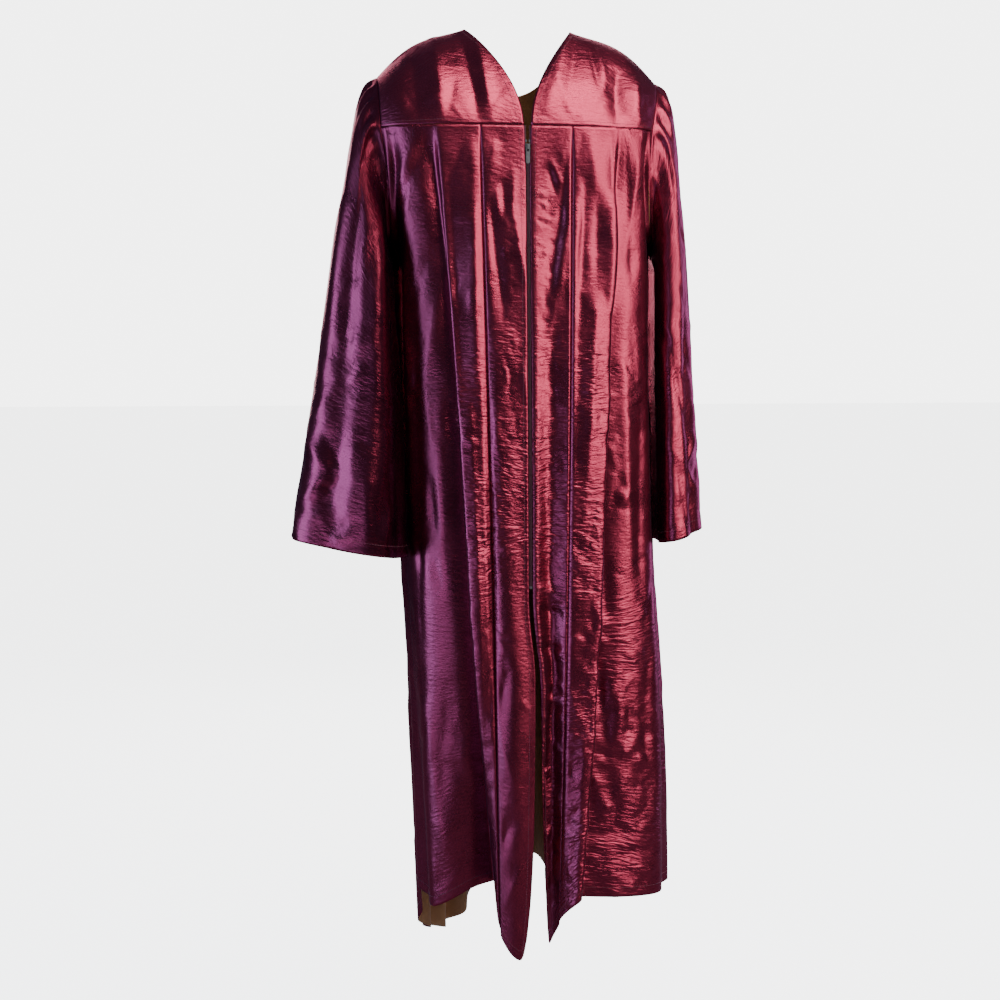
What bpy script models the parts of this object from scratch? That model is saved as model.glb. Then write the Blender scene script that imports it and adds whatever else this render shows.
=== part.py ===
"""Graduation gown of burgundy satin, filled out as when worn, with nobody in it.

Metres, +Z up, the front towards -Y. Left and right are as seen from the front, so left is -X.
The origin lies between the shoulders, on the line of the shoulder seams' middle height.
Each cloth piece is a thin closed wall worked out from rings and fold lines.
"""
from collections import namedtuple
from math import cos, pi, radians, sin

import bmesh
import bpy
import numpy as np

# Driving sizes
CLOTH = 0.0016                 # thickness of a cloth wall
SEAM = 0.0004                  # gap between two pieces at a seam
FRONT_SEAM = -0.114            # height of the front yoke's lower seam
BACK_SEAM = -0.140             # height of the back yoke's lower seam
UNDERARM = -0.285              # height of the underarm point
HIP = -0.760                   # height of the fold lines' middle column
HEM = -1.250                   # height that the hem's own drops are counted from
LOOSE = -0.900                 # height where the hem's drops begin
ARM_FRONT = 0.074              # reach of the armhole round the body, forwards of the side
ARM_BACK = 0.070               # the same, backwards
FRONT_SPREAD = 1.25            # how near the armhole a front's fold lines make room for it
BACK_SPREAD = 1.70             # the same on the back
ROOM_BELOW = 0.060             # distance below the underarm where fold lines begin to make room
PLEAT_OPENS = 0.060            # distance below a yoke over which pleats open
PLEAT_AT_YOKE = 0.12           # share of a pleat's depth that is left at the yoke
PANEL_STEPS = 2                # columns between two fold lines
FLUTE_LINE = 4                 # place of the stitched flute among a strip's lines
ROOM_POWER = 4                 # how fast a fold line's share in the armhole's shape grows outwards
TANGENT_REACH = 0.004          # distance to both sides over which the outline's direction is read
SHARP_ANGLE = 50               # edges that turn more than this, in degrees, stay crisp
ARMHOLE_ROWS = 6               # rows from the yoke's seam to the underarm
SKIRT_ROWS = 16                # rows from the underarm to the hem

# Plan outline of the body at each height. A power of 2 is an ellipse, more is squarer.
Section = namedtuple("Section", "height left right front back power")
SECTIONS = (
    Section(-0.114, -0.219, 0.201, -0.112, 0.104, 3.4),
    Section(-0.200, -0.204, 0.197, -0.117, 0.108, 2.9),
    Section(-0.300, -0.186, 0.194, -0.127, 0.112, 2.6),
    Section(-0.700, -0.177, 0.205, -0.152, 0.130, 2.3),
    Section(-0.950, -0.162, 0.222, -0.160, 0.145, 2.3),
    Section(-1.150, -0.154, 0.229, -0.166, 0.160, 2.3),
    Section(-1.310, -0.147, 0.230, -0.171, 0.170, 2.3),
)

# Lines of a front's centre strip. Across is metres from the zip, out is metres off the outline.
# Each has values at the yoke, the hip and the hem, and its own height at the hem.
Line = namedtuple("Line", "name yoke hip hem out_yoke out_hip out_hem drop")
STRIP_LEFT = (
    Line("edge", 0.0028, 0.0028, 0.0028, 0.000, 0.000, 0.008, -1.272),
    Line("placket", 0.010, 0.010, 0.011, 0.001, 0.001, 0.012, -1.300),
    Line("middle", 0.036, 0.031, 0.026, 0.002, 0.007, 0.012, -1.294),
    Line("flute inside", 0.064, 0.051, 0.042, 0.003, 0.003, 0.006, -1.272),
    Line("flute", 0.067, 0.054, 0.045, -0.004, -0.003, 0.000, -1.262),
    Line("flute outside", 0.070, 0.057, 0.048, 0.003, 0.004, 0.000, -1.250),
    Line("outer face", 0.097, 0.071, 0.054, 0.004, 0.010, -0.014, -1.228),
    Line("crest", 0.124, 0.083, 0.060, 0.006, 0.014, -0.030, -1.216),
    Line("fold", 0.130, 0.087, 0.068, 0.002, 0.003, -0.048, -1.211),
    Line("valley", 0.137, 0.086, 0.082, -0.005, -0.020, -0.064, -1.213),
)
STRIP_RIGHT = (
    Line("edge", 0.0028, 0.0028, 0.0028, 0.000, 0.000, -0.034, -1.274),
    Line("placket", 0.010, 0.010, 0.012, 0.001, 0.001, -0.034, -1.297),
    Line("trough", 0.034, 0.030, 0.028, 0.001, -0.012, -0.028, -1.283),
    Line("flute inside", 0.061, 0.052, 0.041, 0.003, 0.001, -0.012, -1.262),
    Line("flute", 0.064, 0.055, 0.044, -0.004, -0.004, -0.010, -1.254),
    Line("flute outside", 0.067, 0.058, 0.048, 0.003, 0.004, -0.003, -1.244),
    Line("outer face", 0.095, 0.084, 0.058, 0.004, 0.008, 0.007, -1.230),
    Line("crest", 0.124, 0.102, 0.067, 0.004, 0.010, 0.010, -1.221),
    Line("fold", 0.130, 0.107, 0.073, 0.002, 0.002, 0.003, -1.221),
    Line("valley", 0.137, 0.107, 0.080, -0.004, -0.015, -0.014, -1.223),
)

# Lines of a front's flank. Across is the share of the way from the valley to the panel's end.
FLANK_LEFT = (
    Line("rise", 0.20, 0.20, 0.18, 0.002, -0.006, -0.034, -1.218),
    Line("swell", 0.46, 0.48, 0.44, 0.004, 0.006, 0.004, -1.247),
    Line("hollow", 0.72, 0.72, 0.70, -0.006, -0.003, -0.006, -1.248),
    Line("side ridge", 0.88, 0.88, 0.88, 0.002, 0.002, 0.004, -1.246),
    Line("side", 1.00, 1.00, 1.00, 0.000, 0.000, 0.000, -1.248),
)
FLANK_RIGHT = (
    Line("rise", 0.20, 0.22, 0.22, 0.002, -0.003, 0.002, -1.226),
    Line("swell", 0.46, 0.50, 0.50, 0.004, 0.007, 0.012, -1.234),
    Line("hollow", 0.72, 0.74, 0.74, -0.006, -0.004, -0.005, -1.243),
    Line("side ridge", 0.88, 0.90, 0.90, 0.002, 0.002, 0.006, -1.247),
    Line("side", 1.00, 1.00, 1.00, 0.000, 0.000, 0.000, -1.250),
)

# Lines of the back panel's left and right halves, as shares from the centre back to the side
BACK_LEFT = (
    Line("centre", 0.00, 0.00, 0.00, 0.003, 0.006, 0.008, -1.262),
    Line("valley 1", 0.08, 0.09, 0.10, -0.005, -0.012, -0.016, -1.284),
    Line("flute 1", 0.17, 0.19, 0.20, 0.005, 0.010, 0.014, -1.326),
    Line("valley 2", 0.26, 0.28, 0.29, -0.005, -0.010, -0.014, -1.350),
    Line("flute 2", 0.35, 0.38, 0.40, 0.005, 0.009, 0.012, -1.367),
    Line("valley 3", 0.45, 0.48, 0.50, -0.005, -0.011, -0.016, -1.363),
    Line("flute 3", 0.55, 0.58, 0.61, 0.005, 0.010, 0.010, -1.354),
    Line("valley 4", 0.66, 0.68, 0.71, -0.004, -0.008, -0.012, -1.346),
    Line("flute 4", 0.78, 0.79, 0.81, 0.004, 0.006, 0.004, -1.326),
    Line("side valley", 0.90, 0.90, 0.91, -0.003, -0.003, -0.004, -1.298),
    Line("side", 1.00, 1.00, 1.00, 0.000, 0.000, 0.000, -1.248),
)
BACK_RIGHT = (
    Line("centre", 0.00, 0.00, 0.00, 0.003, 0.006, 0.008, -1.262),
    Line("valley 1", 0.09, 0.08, 0.09, -0.005, -0.012, -0.014, -1.262),
    Line("flute 1", 0.18, 0.17, 0.18, 0.005, 0.010, 0.015, -1.272),
    Line("valley 2", 0.27, 0.27, 0.28, -0.005, -0.009, -0.016, -1.306),
    Line("flute 2", 0.36, 0.37, 0.38, 0.005, 0.009, 0.012, -1.296),
    Line("valley 3", 0.46, 0.47, 0.49, -0.005, -0.012, -0.018, -1.280),
    Line("flute 3", 0.56, 0.58, 0.60, 0.005, 0.010, 0.012, -1.270),
    Line("valley 4", 0.67, 0.69, 0.71, -0.004, -0.008, -0.012, -1.258),
    Line("flute 4", 0.78, 0.80, 0.82, 0.004, 0.006, 0.008, -1.260),
    Line("side valley", 0.90, 0.91, 0.92, -0.003, -0.003, -0.004, -1.258),
    Line("side", 1.00, 1.00, 1.00, 0.000, 0.000, 0.000, -1.252),
)

# How far each front's free edge stands off the zip's line, away from the centre
Parting = namedtuple("Parting", "height left right")
PARTINGS = (
    Parting(-0.114, 0.0026, 0.0026),
    Parting(-0.150, 0.0013, 0.0013),
    Parting(-0.190, 0.0000, 0.0000),
    Parting(-0.780, 0.0000, 0.0000),
    Parting(-0.900, -0.0095, 0.0115),
    Parting(-1.080, -0.0070, 0.0185),
    Parting(-1.180, -0.0020, 0.0245),
    Parting(-1.300, 0.0120, 0.0330),
)

# The yokes and the shoulder
NECK_POINT = (0.078, 0.038)    # across and height where neck and shoulder seam meet
SHOULDER_POINT = (0.206, -0.034)
SHOULDER_BOW = 0.017           # rise of the shoulder seam above a straight line
SHOULDER_LEAN = 1.3            # 1 puts the highest rise half way, more puts it further out
YOKE_ROUND = 0.60              # 0 is a straight fall from shoulder to seam, 1 a quarter round
NECK_BOW = 1.00                # how much the V's edge curves towards the centre
NECK_RISE = 0.008              # rise of the shoulders' line at the neck, which is cut away
BACK_NECK_CUT = 0.600          # share of the back yoke's height that the neckline cuts away
BACK_NECK_POWER = 0.8          # less makes the back neckline squarer, more makes it pointed
YOKE_COLUMNS = 8
YOKE_ROWS = 6
NECK_COLUMNS = 10

# Sleeve rings below the armhole: outer and inner edge in X and height, front and back in Y
Ring = namedtuple("Ring", "name outer outer_height inner inner_height front back")
RINGS_LEFT = (
    Ring("upper arm", 0.2600, -0.210, 0.1860, -0.330, -0.104, 0.086),
    Ring("elbow", 0.2990, -0.460, 0.1700, -0.510, -0.126, 0.086),
    Ring("cuff", 0.3370, -0.696, 0.1640, -0.728, -0.146, 0.090),
)
RINGS_RIGHT = (
    Ring("upper arm", 0.2430, -0.210, 0.1960, -0.330, -0.078, 0.098),
    Ring("elbow", 0.2600, -0.460, 0.1980, -0.505, -0.080, 0.118),
    Ring("cuff", 0.2770, -0.694, 0.2000, -0.718, -0.086, 0.136),
)
RING_POWER = 2.5               # 2 is an ellipse, more is squarer
BODY_CLEARANCE = 0.0105        # least distance across from the body's outline to a sleeve
UNDERARM_CLEARANCE = 0.0030    # the same just under the armhole
CLEARANCE_OPENS = 0.030        # distance below the underarm over which it grows
# Long folds of a sleeve: angle from the outer edge towards the front, height at elbow and cuff
SleeveFold = namedtuple("SleeveFold", "angle width elbow cuff")
FOLDS_LEFT = (
    SleeveFold(38, 20, 0.004, 0.008),
    SleeveFold(72, 18, -0.005, -0.009),
    SleeveFold(104, 20, 0.006, 0.010),
    SleeveFold(140, 16, -0.004, -0.007),
    SleeveFold(222, 20, 0.004, 0.008),
    SleeveFold(268, 22, -0.005, -0.009),
    SleeveFold(318, 20, 0.004, 0.008),
)
FOLDS_RIGHT = (
    SleeveFold(34, 18, 0.003, 0.005),
    SleeveFold(66, 18, -0.004, -0.007),
    SleeveFold(108, 18, 0.004, 0.007),
    SleeveFold(230, 20, 0.003, 0.005),
    SleeveFold(286, 20, -0.005, -0.008),
    SleeveFold(322, 18, 0.003, 0.006),
)
FOLD_STARTS = 0.1              # shares of the sleeve's length where a fold begins to rise
FOLD_FULL = 0.6                # where it is as high as at the elbow
CUFF_STARTS = 0.5              # and where it begins to grow to its height at the cuff
SLEEVE_ROWS = 11
SLEEVE_ROW_SPREAD = 1.25       # more than 1 puts the rows closer together at the cap
CAP_SPLIT = 3                  # sleeve columns to each edge of a yoke's armhole side
CAP_GATHERS = 9                # gathers over one sleeve's cap
GATHER_DEPTH = 0.0032
GATHER_FULL = 0.05             # share of the sleeve's length where the gathers are deepest
GATHER_LENGTH = 0.16           # and where they have faded out
CAP_FULL = 60                  # angle to both sides of the shoulder with full gathers, in degrees
CAP_ENDS = 85                  # and where they end
CAP_LEAN = 22.0                # angle between yoke and sleeve at the shoulder, in degrees
UNDERARM_LEAN = 86.0           # the same at the underarm
CAP_PUSH = 0.120               # how far the cap runs out before it bends down
UNDERARM_PUSH = 0.050
ARMHOLE_GAP = 0.0009           # gap between a sleeve and the body's edge

# The zip, placed along the centre front
STOP_TOP = -0.134
ZIP_END = -0.762
CHAIN_TOP = -0.147
CHAIN_HALF = 0.0021
CHAIN_FACE = 0.0001            # depth of the chain's front behind the cloth's middle
CHAIN_THICK = 0.0022
TAPE_THICK = 0.0010
TAPE_GAP = 0.0005              # gap between a front and the tape behind it
TAPE_COLUMNS = 4
TAPE_TAIL = 0.030              # distance below the zip's end that the tapes' last row may lie in
STOP_THICK = 0.0016
SLIDER_HEIGHT = -0.1445        # middle of the slider
SLIDER_WIDE = 0.0066
SLIDER_TALL = 0.0092
PLATE_THICK = 0.0011
PLATE_GAP = 0.0006             # gap between the slider's plates and the chain
TOUCH = 0.0003                 # gap between two pieces that touch
NECK_WIDE = 0.0022
CROWN_WIDE = 0.0024
CROWN_TALL = 0.0080
CROWN_POST = 0.0014
CROWN_SPACE = 0.0022
CROWN_BAR = 0.0012
TAB_BAR = 0.0012
TAB_EYE = 0.0064
TAB_LONG = 0.0230
TAB_EYE_HALF = 0.0016
TAB_HALF = 0.0028
TAB_TOP_CLIP = 0.0008
TAB_END_CLIP = 0.0016
EYE_CLIP = 0.0004
CROWN_SLOPE = 0.0008           # how much the crown's bar is shorter than its foot, at each end
STOP_WIDE = 0.0020
STOP_TALL = 0.0034

# Finishes
SATIN = ((0.300, 0.030, 0.060), 0.32, 0.35)
ZIP_TAPE = ((0.060, 0.014, 0.024), 0.75, 0.00)
ZIP_METAL = ((0.300, 0.290, 0.300), 0.35, 1.00)


def curve_through(knots, values):
    """Smooth curve through values at knots, with no overshoot, and level beyond its ends."""
    knots = np.asarray(knots, float)
    values = np.asarray(values, float)
    order = np.argsort(knots)
    knots = knots[order]
    values = values[order]
    rise = np.diff(values) / np.diff(knots)
    slope = np.zeros(len(values))
    for i in range(1, len(values) - 1):
        if rise[i - 1] * rise[i] > 0:
            slope[i] = 2 * rise[i - 1] * rise[i] / (rise[i - 1] + rise[i])
    slope[0] = rise[0]
    slope[-1] = rise[-1]

    def value(at):
        at = min(max(at, knots[0]), knots[-1])
        i = min(max(int(np.searchsorted(knots, at)) - 1, 0), len(knots) - 2)
        step = knots[i + 1] - knots[i]
        t = (at - knots[i]) / step
        start = (1 + 2 * t) * (1 - t) ** 2 * values[i] + t * (1 - t) ** 2 * step * slope[i]
        end = t * t * (3 - 2 * t) * values[i + 1] + t * t * (t - 1) * step * slope[i + 1]
        return start + end
    return value


def smooth_step(low, high, at):
    """0 below low, 1 above high, soft between them."""
    t = min(max((at - low) / (high - low), 0.0), 1.0)
    return t * t * (3 - 2 * t)


def unit(vectors):
    """Vectors of length one."""
    return vectors / np.maximum(np.linalg.norm(vectors, axis=-1, keepdims=True), 1e-12)


SECTION_HEIGHTS = [s.height for s in SECTIONS]
OUTLINE = {name: curve_through(SECTION_HEIGHTS, [getattr(s, name) for s in SECTIONS])
           for name in ("left", "right", "front", "back", "power")}
PARTING = {name: curve_through([p.height for p in PARTINGS], [getattr(p, name) for p in PARTINGS])
           for name in ("left", "right")}


class Quarter:
    """A quarter of the body's plan outline at one height, from the centre to the side."""

    def __init__(self, height, side, half):
        angles = np.linspace(0, pi / 2, 73)
        power = 2 / OUTLINE["power"](height)
        self.x = OUTLINE[side](height) * np.sin(angles) ** power
        self.y = OUTLINE[half](height) * np.clip(np.cos(angles), 0, 1) ** power
        steps = np.hypot(np.diff(self.x), np.diff(self.y))
        self.run = np.concatenate([[0], np.cumsum(steps)])
        self.length = self.run[-1]
        self.turn = 1 if (side == "left") == (half == "front") else -1
        self.outward = -1 if side == "left" else 1

    def place(self, along, out):
        """Plan point at a distance along the outline from the centre, moved out from it."""
        if along < 0:
            x = self.outward * along
            y = self.y[0]
            tangent = np.array([self.outward, 0.0])
        else:
            x = np.interp(along, self.run, self.x)
            y = np.interp(along, self.run, self.y)
            ahead = min(along + TANGENT_REACH, self.length)
            behind = max(ahead - 2 * TANGENT_REACH, 0.0)
            tangent = np.array([np.interp(ahead, self.run, self.x) - np.interp(behind, self.run, self.x),
                                np.interp(ahead, self.run, self.y) - np.interp(behind, self.run, self.y)])
            tangent = unit(tangent)
        normal = self.turn * np.array([-tangent[1], tangent[0]])
        return np.array([x, y]) + out * normal


def level(line, name, height, top):
    """A fold line's across or out value at a height."""
    values = (line.yoke, line.hip, line.hem) if name == "across" else (
        line.out_yoke, line.out_hip, line.out_hem)
    return curve_through((top, HIP, HEM), values)(height)


def soften(points, steps):
    """Points of a smooth curve through the given ones, with steps between each two."""
    points = np.asarray(points, float)
    padded = np.vstack([2 * points[0] - points[1], points, 2 * points[-1] - points[-2]])
    result = []
    for i in range(1, len(padded) - 2):
        before, start, end, after = padded[i - 1:i + 3]
        for k in range(steps):
            t = k / steps
            result.append(0.5 * (2 * start + (end - before) * t
                                 + (2 * before - 5 * start + 4 * end - after) * t * t
                                 + (3 * start - before - 3 * end + after) * t ** 3))
    result.append(padded[-2])
    return np.array(result)


def armhole_share(height, top):
    """How open the armhole is at a height: 0 at the underarm, 1 at the yoke's seam."""
    t = min(max((height - UNDERARM) / (top - UNDERARM), 0.0), 1.0)
    return (1 - (1 - t) ** 2) ** 0.5


def room_share(height, top, share):
    """How far a fold line gives way to the armhole: the edge follows it, lines within softly."""
    t = smooth_step(UNDERARM - ROOM_BELOW, top, height)
    return t + (armhole_share(height, top) - t) * share ** ROOM_POWER


def row_heights(top):
    """Heights of a panel's rows, closer together round the underarm."""
    upper = [top + (UNDERARM - top) * sin(pi / 2 * i / ARMHOLE_ROWS) for i in range(ARMHOLE_ROWS)]
    lower = [UNDERARM + (HEM - UNDERARM) * i / SKIRT_ROWS for i in range(SKIRT_ROWS + 1)]
    return upper + lower


def pleat_share(height, top):
    """Share of the pleats' depth at a height: little at the yoke, all of it lower down."""
    return PLEAT_AT_YOKE + (1 - PLEAT_AT_YOKE) * smooth_step(0, PLEAT_OPENS, top - height)


def front_row(height, side):
    """Middle points of a front panel at one height, from the zip to the armhole or side."""
    strip = STRIP_LEFT if side == "left" else STRIP_RIGHT
    flank = FLANK_LEFT if side == "left" else FLANK_RIGHT
    quarter = Quarter(height, side, "front")
    end = quarter.length - SEAM / 2
    open_share = pleat_share(height, FRONT_SEAM)
    flute = level(strip[FLUTE_LINE], "across", height, FRONT_SEAM)
    points = []
    for line in strip:
        across = level(line, "across", height, FRONT_SEAM)
        across += PARTING[side](height) * max(1 - across / flute, 0)
        out = level(line, "out", height, FRONT_SEAM) * open_share
        points.append((across, out, line.drop))
    valley = points[-1][0]
    for line in flank:
        share = level(line, "across", height, FRONT_SEAM)
        room = ARM_FRONT * room_share(height, FRONT_SEAM, share) * share ** FRONT_SPREAD
        across = valley + (end - valley) * share - room
        out = level(line, "out", height, FRONT_SEAM) * open_share
        points.append((across, out, line.drop))
    return quarter, soften(points, PANEL_STEPS)


def back_row(height, side):
    """Middle points of half the back panel at one height, from the centre to the side."""
    lines = BACK_LEFT if side == "left" else BACK_RIGHT
    quarter = Quarter(height, side, "back")
    end = quarter.length - SEAM / 2
    open_share = pleat_share(height, BACK_SEAM)
    points = []
    for line in lines:
        share = level(line, "across", height, BACK_SEAM)
        out = level(line, "out", height, BACK_SEAM) * open_share
        room = ARM_BACK * room_share(height, BACK_SEAM, share) * share ** BACK_SPREAD
        points.append((end * share - room, out, line.drop))
    return quarter, soften(points, PANEL_STEPS)


def panel_grid(heights, rows):
    """Places a panel's rows in space, with the hem's own height at each column."""
    grid = []
    for height, (quarter, points) in zip(heights, rows):
        fall = smooth_step(0, 1, (LOOSE - height) / (LOOSE - HEM))
        grid.append([(*quarter.place(along, out), height + fall * (drop - HEM))
                     for along, out, drop in points])
    return np.array(grid)


def grid_normals(grid, wrap=False, flip=1):
    """Normals of a grid of points, rows first."""
    down = np.gradient(grid, axis=0)
    if wrap:
        across = np.roll(grid, -1, axis=1) - np.roll(grid, 1, axis=1)
    else:
        across = np.gradient(grid, axis=1)
    return unit(np.cross(across, down) * flip)


def flatten(normals, axis):
    """Normals turned square to an axis, so that two pieces' edges meet face to face."""
    normals = normals.copy()
    normals[..., axis] = 0
    return unit(normals)


def wall_mesh(outer, inner, wrap=False):
    """Vertices and faces of a closed wall between two grids of points."""
    rows, columns = outer.shape[:2]
    vertices = np.concatenate([outer.reshape(-1, 3), inner.reshape(-1, 3)])
    half = rows * columns
    faces = []

    def at(row, column):
        return row * columns + column % columns

    spans = columns if wrap else columns - 1
    for row in range(rows - 1):
        for column in range(spans):
            a, b = at(row, column), at(row, column + 1)
            c, d = at(row + 1, column + 1), at(row + 1, column)
            faces.append((a, b, c, d))
            faces.append((half + d, half + c, half + b, half + a))
    for column in range(spans):
        a, b = at(0, column), at(0, column + 1)
        faces.append((half + a, half + b, b, a))
        a, b = at(rows - 1, column), at(rows - 1, column + 1)
        faces.append((a, b, half + b, half + a))
    if not wrap:
        for row in range(rows - 1):
            a, b = at(row, 0), at(row + 1, 0)
            faces.append((a, b, half + b, half + a))
            a, b = at(row, columns - 1), at(row + 1, columns - 1)
            faces.append((half + a, half + b, b, a))
    return vertices, faces


def make_material(name, finish):
    """A plain material with a colour, roughness and metallic value."""
    colour, roughness, metallic = finish
    material = bpy.data.materials.new(name)
    material.use_nodes = True
    shader = material.node_tree.nodes["Principled BSDF"]
    shader.inputs["Base Color"].default_value = (*colour, 1)
    shader.inputs["Roughness"].default_value = roughness
    shader.inputs["Metallic"].default_value = metallic
    return material


def add_object(name, vertices, faces, material, origin=(0, 0, 0)):
    """Makes one closed object, its faces pointing outwards, with its own origin."""
    mesh = bpy.data.meshes.new(name)
    place = np.asarray(vertices, float) - np.asarray(origin, float)
    mesh.from_pydata(place.tolist(), [], [tuple(face) for face in faces])
    work = bmesh.new()
    work.from_mesh(mesh)
    bmesh.ops.recalc_face_normals(work, faces=work.faces)
    work.to_mesh(mesh)
    work.free()
    mesh.materials.append(material)
    mesh.shade_smooth()
    mesh.set_sharp_from_angle(angle=radians(SHARP_ANGLE))
    piece = bpy.data.objects.new(name, mesh)
    piece.location = origin
    bpy.context.scene.collection.objects.link(piece)
    return piece


def add_wall(name, middle, normals, material, wrap=False):
    """Makes a cloth wall round a grid of middle points."""
    outer = middle + normals * CLOTH / 2
    inner = middle - normals * CLOTH / 2
    vertices, faces = wall_mesh(outer, inner, wrap)
    return add_object(name, vertices, faces, material)


def shoulder_seam(share, side):
    """Point on the shoulder seam, from the neck point at 0 to the shoulder point at 1."""
    sign = -1 if side == "left" else 1
    across = NECK_POINT[0] + (SHOULDER_POINT[0] - NECK_POINT[0]) * share
    height = NECK_POINT[1] + (SHOULDER_POINT[1] - NECK_POINT[1]) * share
    return np.array([sign * across, 0.0, height + SHOULDER_BOW * sin(pi * share ** SHOULDER_LEAN)])


def yoke_column(top, bottom, curve, start=0.0):
    """Points from a yoke's upper edge to its lower seam, rounding over the shoulder."""
    points = []
    for i in range(YOKE_ROWS + 1):
        v = start + (1 - start) * i / YOKE_ROWS
        reach = (1 - YOKE_ROUND) * v + YOKE_ROUND * sin(pi / 2 * v)
        drop = (1 - YOKE_ROUND) * v + YOKE_ROUND * (1 - cos(pi / 2 * v))
        sideways = drop + curve * (sin(pi / 2 * drop) - drop)
        share = np.array([sideways, reach, drop])
        points.append(top + (bottom - top) * share)
    return points


def front_yoke(side, front_top):
    """Middle points and normals of a front yoke, from its seam's points."""
    spots = [point[0] for point in front_top[1]]
    quarter = front_top[0]
    start, end = spots[0], spots[-1]
    columns = []
    for i in range(YOKE_COLUMNS + 1):
        share = i / YOKE_COLUMNS
        top = shoulder_seam(share, side)
        top[1] = -SEAM / 2
        plan = quarter.place(start + (end - start) * share, 0)
        bottom = np.array([*plan, FRONT_SEAM + SEAM])
        columns.append(yoke_column(top, bottom, NECK_BOW * (1 - share)))
    middle = np.array(columns).transpose(1, 0, 2)
    normals = grid_normals(middle, flip=1 if side == "left" else -1)
    normals[0] = flatten(normals[0], 1)
    normals[-1] = flatten(normals[-1], 2)
    return middle, normals


def back_yoke(back_top):
    """Middle points and normals of the back yoke, from the left shoulder to the right one."""
    shares = np.linspace(1, 0, YOKE_COLUMNS + 1)
    tops = [shoulder_seam(share, "left") for share in shares]
    cuts = [0.0] * len(tops)
    for i in range(1, NECK_COLUMNS):
        angle = pi * i / NECK_COLUMNS
        tops.append(np.array([-NECK_POINT[0] * cos(angle), 0, NECK_POINT[1] + NECK_RISE * sin(angle)]))
        cuts.append(BACK_NECK_CUT * sin(angle) ** BACK_NECK_POWER)
    tops += [shoulder_seam(share, "right") for share in shares[::-1]]
    cuts += [0.0] * len(shares)
    columns = []
    for top, cut in zip(tops, cuts):
        quarter, points = back_top["left" if top[0] < 0 else "right"]
        top[1] = SEAM / 2
        plan = quarter.place(points[-1][0] * abs(top[0]) / SHOULDER_POINT[0], 0)
        bottom = np.array([*plan, BACK_SEAM + SEAM])
        columns.append(yoke_column(top, bottom, 0, cut))
    middle = np.array(columns).transpose(1, 0, 2)
    normals = grid_normals(middle)
    corner = range(YOKE_COLUMNS, YOKE_COLUMNS + NECK_COLUMNS + 1)
    shoulder = [i for i in range(len(tops)) if i not in corner or i in (corner[0], corner[-1])]
    normals[0, shoulder] = flatten(normals[0, shoulder], 1)
    normals[-1] = flatten(normals[-1], 2)
    return middle, normals


def armhole_loop(pieces):
    """Closed loop of an armhole, from the shoulder down the front and up the back.

    Returns the points, the walls' normals there and how many edges each quarter has.
    """
    points = []
    normals = []
    counts = []
    for middle, normal, column, backwards in pieces:
        line = middle[:, column]
        lean = normal[:, column]
        if backwards:
            line = line[::-1]
            lean = lean[::-1]
        if points:
            points[-1] = (points[-1] + line[0]) / 2
            normals[-1] = normals[-1] + lean[0]
            line = line[1:]
            lean = lean[1:]
        points += list(line)
        normals += list(lean)
        counts.append(len(line) if counts else len(line) - 1)
    points[0] = (points[0] + points[-1]) / 2
    normals[0] = normals[0] + normals[-1]
    return np.array(points[:-1]), unit(np.array(normals[:-1])), counts


def split_edges(points, normals, counts):
    """Adds points on the yokes' edges of the loop, so that gathers fit between them."""
    new_points = []
    new_normals = []
    total = len(points)
    for i in range(total):
        fine = i < counts[0] or i >= total - counts[3]
        parts = CAP_SPLIT if fine else 1
        for k in range(parts):
            t = k / parts
            new_points.append(points[i] * (1 - t) + points[(i + 1) % total] * t)
            new_normals.append(normals[i] * (1 - t) + normals[(i + 1) % total] * t)
    return np.array(new_points), unit(np.array(new_normals))


def loop_angles(points):
    """Angle of each loop point: 0 at the shoulder, half a turn at the underarm."""
    steps = np.linalg.norm(np.roll(points, -1, axis=0) - points, axis=1)
    run = np.concatenate([[0], np.cumsum(steps)])
    low = int(np.argmin(points[:, 2]))
    front = run[:low + 1] / run[low] * pi
    back = pi + (run[low + 1:-1] - run[low]) / (run[-1] - run[low]) * pi
    return np.concatenate([front, back])


def ring_points(ring, angles, sign):
    """Points of a sleeve ring at the given angles."""
    result = []
    for angle in angles:
        c, s = (np.sign(part) * abs(part) ** (2 / RING_POWER) for part in (cos(angle), sin(angle)))
        across = (ring.outer + ring.inner) / 2 + (ring.outer - ring.inner) / 2 * c
        height = (ring.outer_height + ring.inner_height) / 2 + (
            ring.outer_height - ring.inner_height) / 2 * c
        middle = (ring.front + ring.back) / 2
        depth = middle - (ring.back - ring.front) / 2 * s
        result.append((sign * across, depth, height))
    return np.array(result)


def rest_by_body(grid, side):
    """Moves a sleeve's points out across, where they would lie in the body or too near it."""
    sign = -1 if side == "left" else 1
    for point in grid.reshape(-1, 3):
        if point[2] > UNDERARM:
            continue
        half = "front" if point[1] < 0 else "back"
        share = abs(point[1] / OUTLINE[half](point[2]))
        if share >= 1:
            continue
        power = OUTLINE["power"](point[2])
        least = abs(OUTLINE[side](point[2])) * (1 - share ** power) ** (1 / power)
        below = smooth_step(0, CLEARANCE_OPENS, UNDERARM - point[2])
        least += UNDERARM_CLEARANCE + (BODY_CLEARANCE - UNDERARM_CLEARANCE) * below
        point[0] = sign * max(sign * point[0], least)


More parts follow.
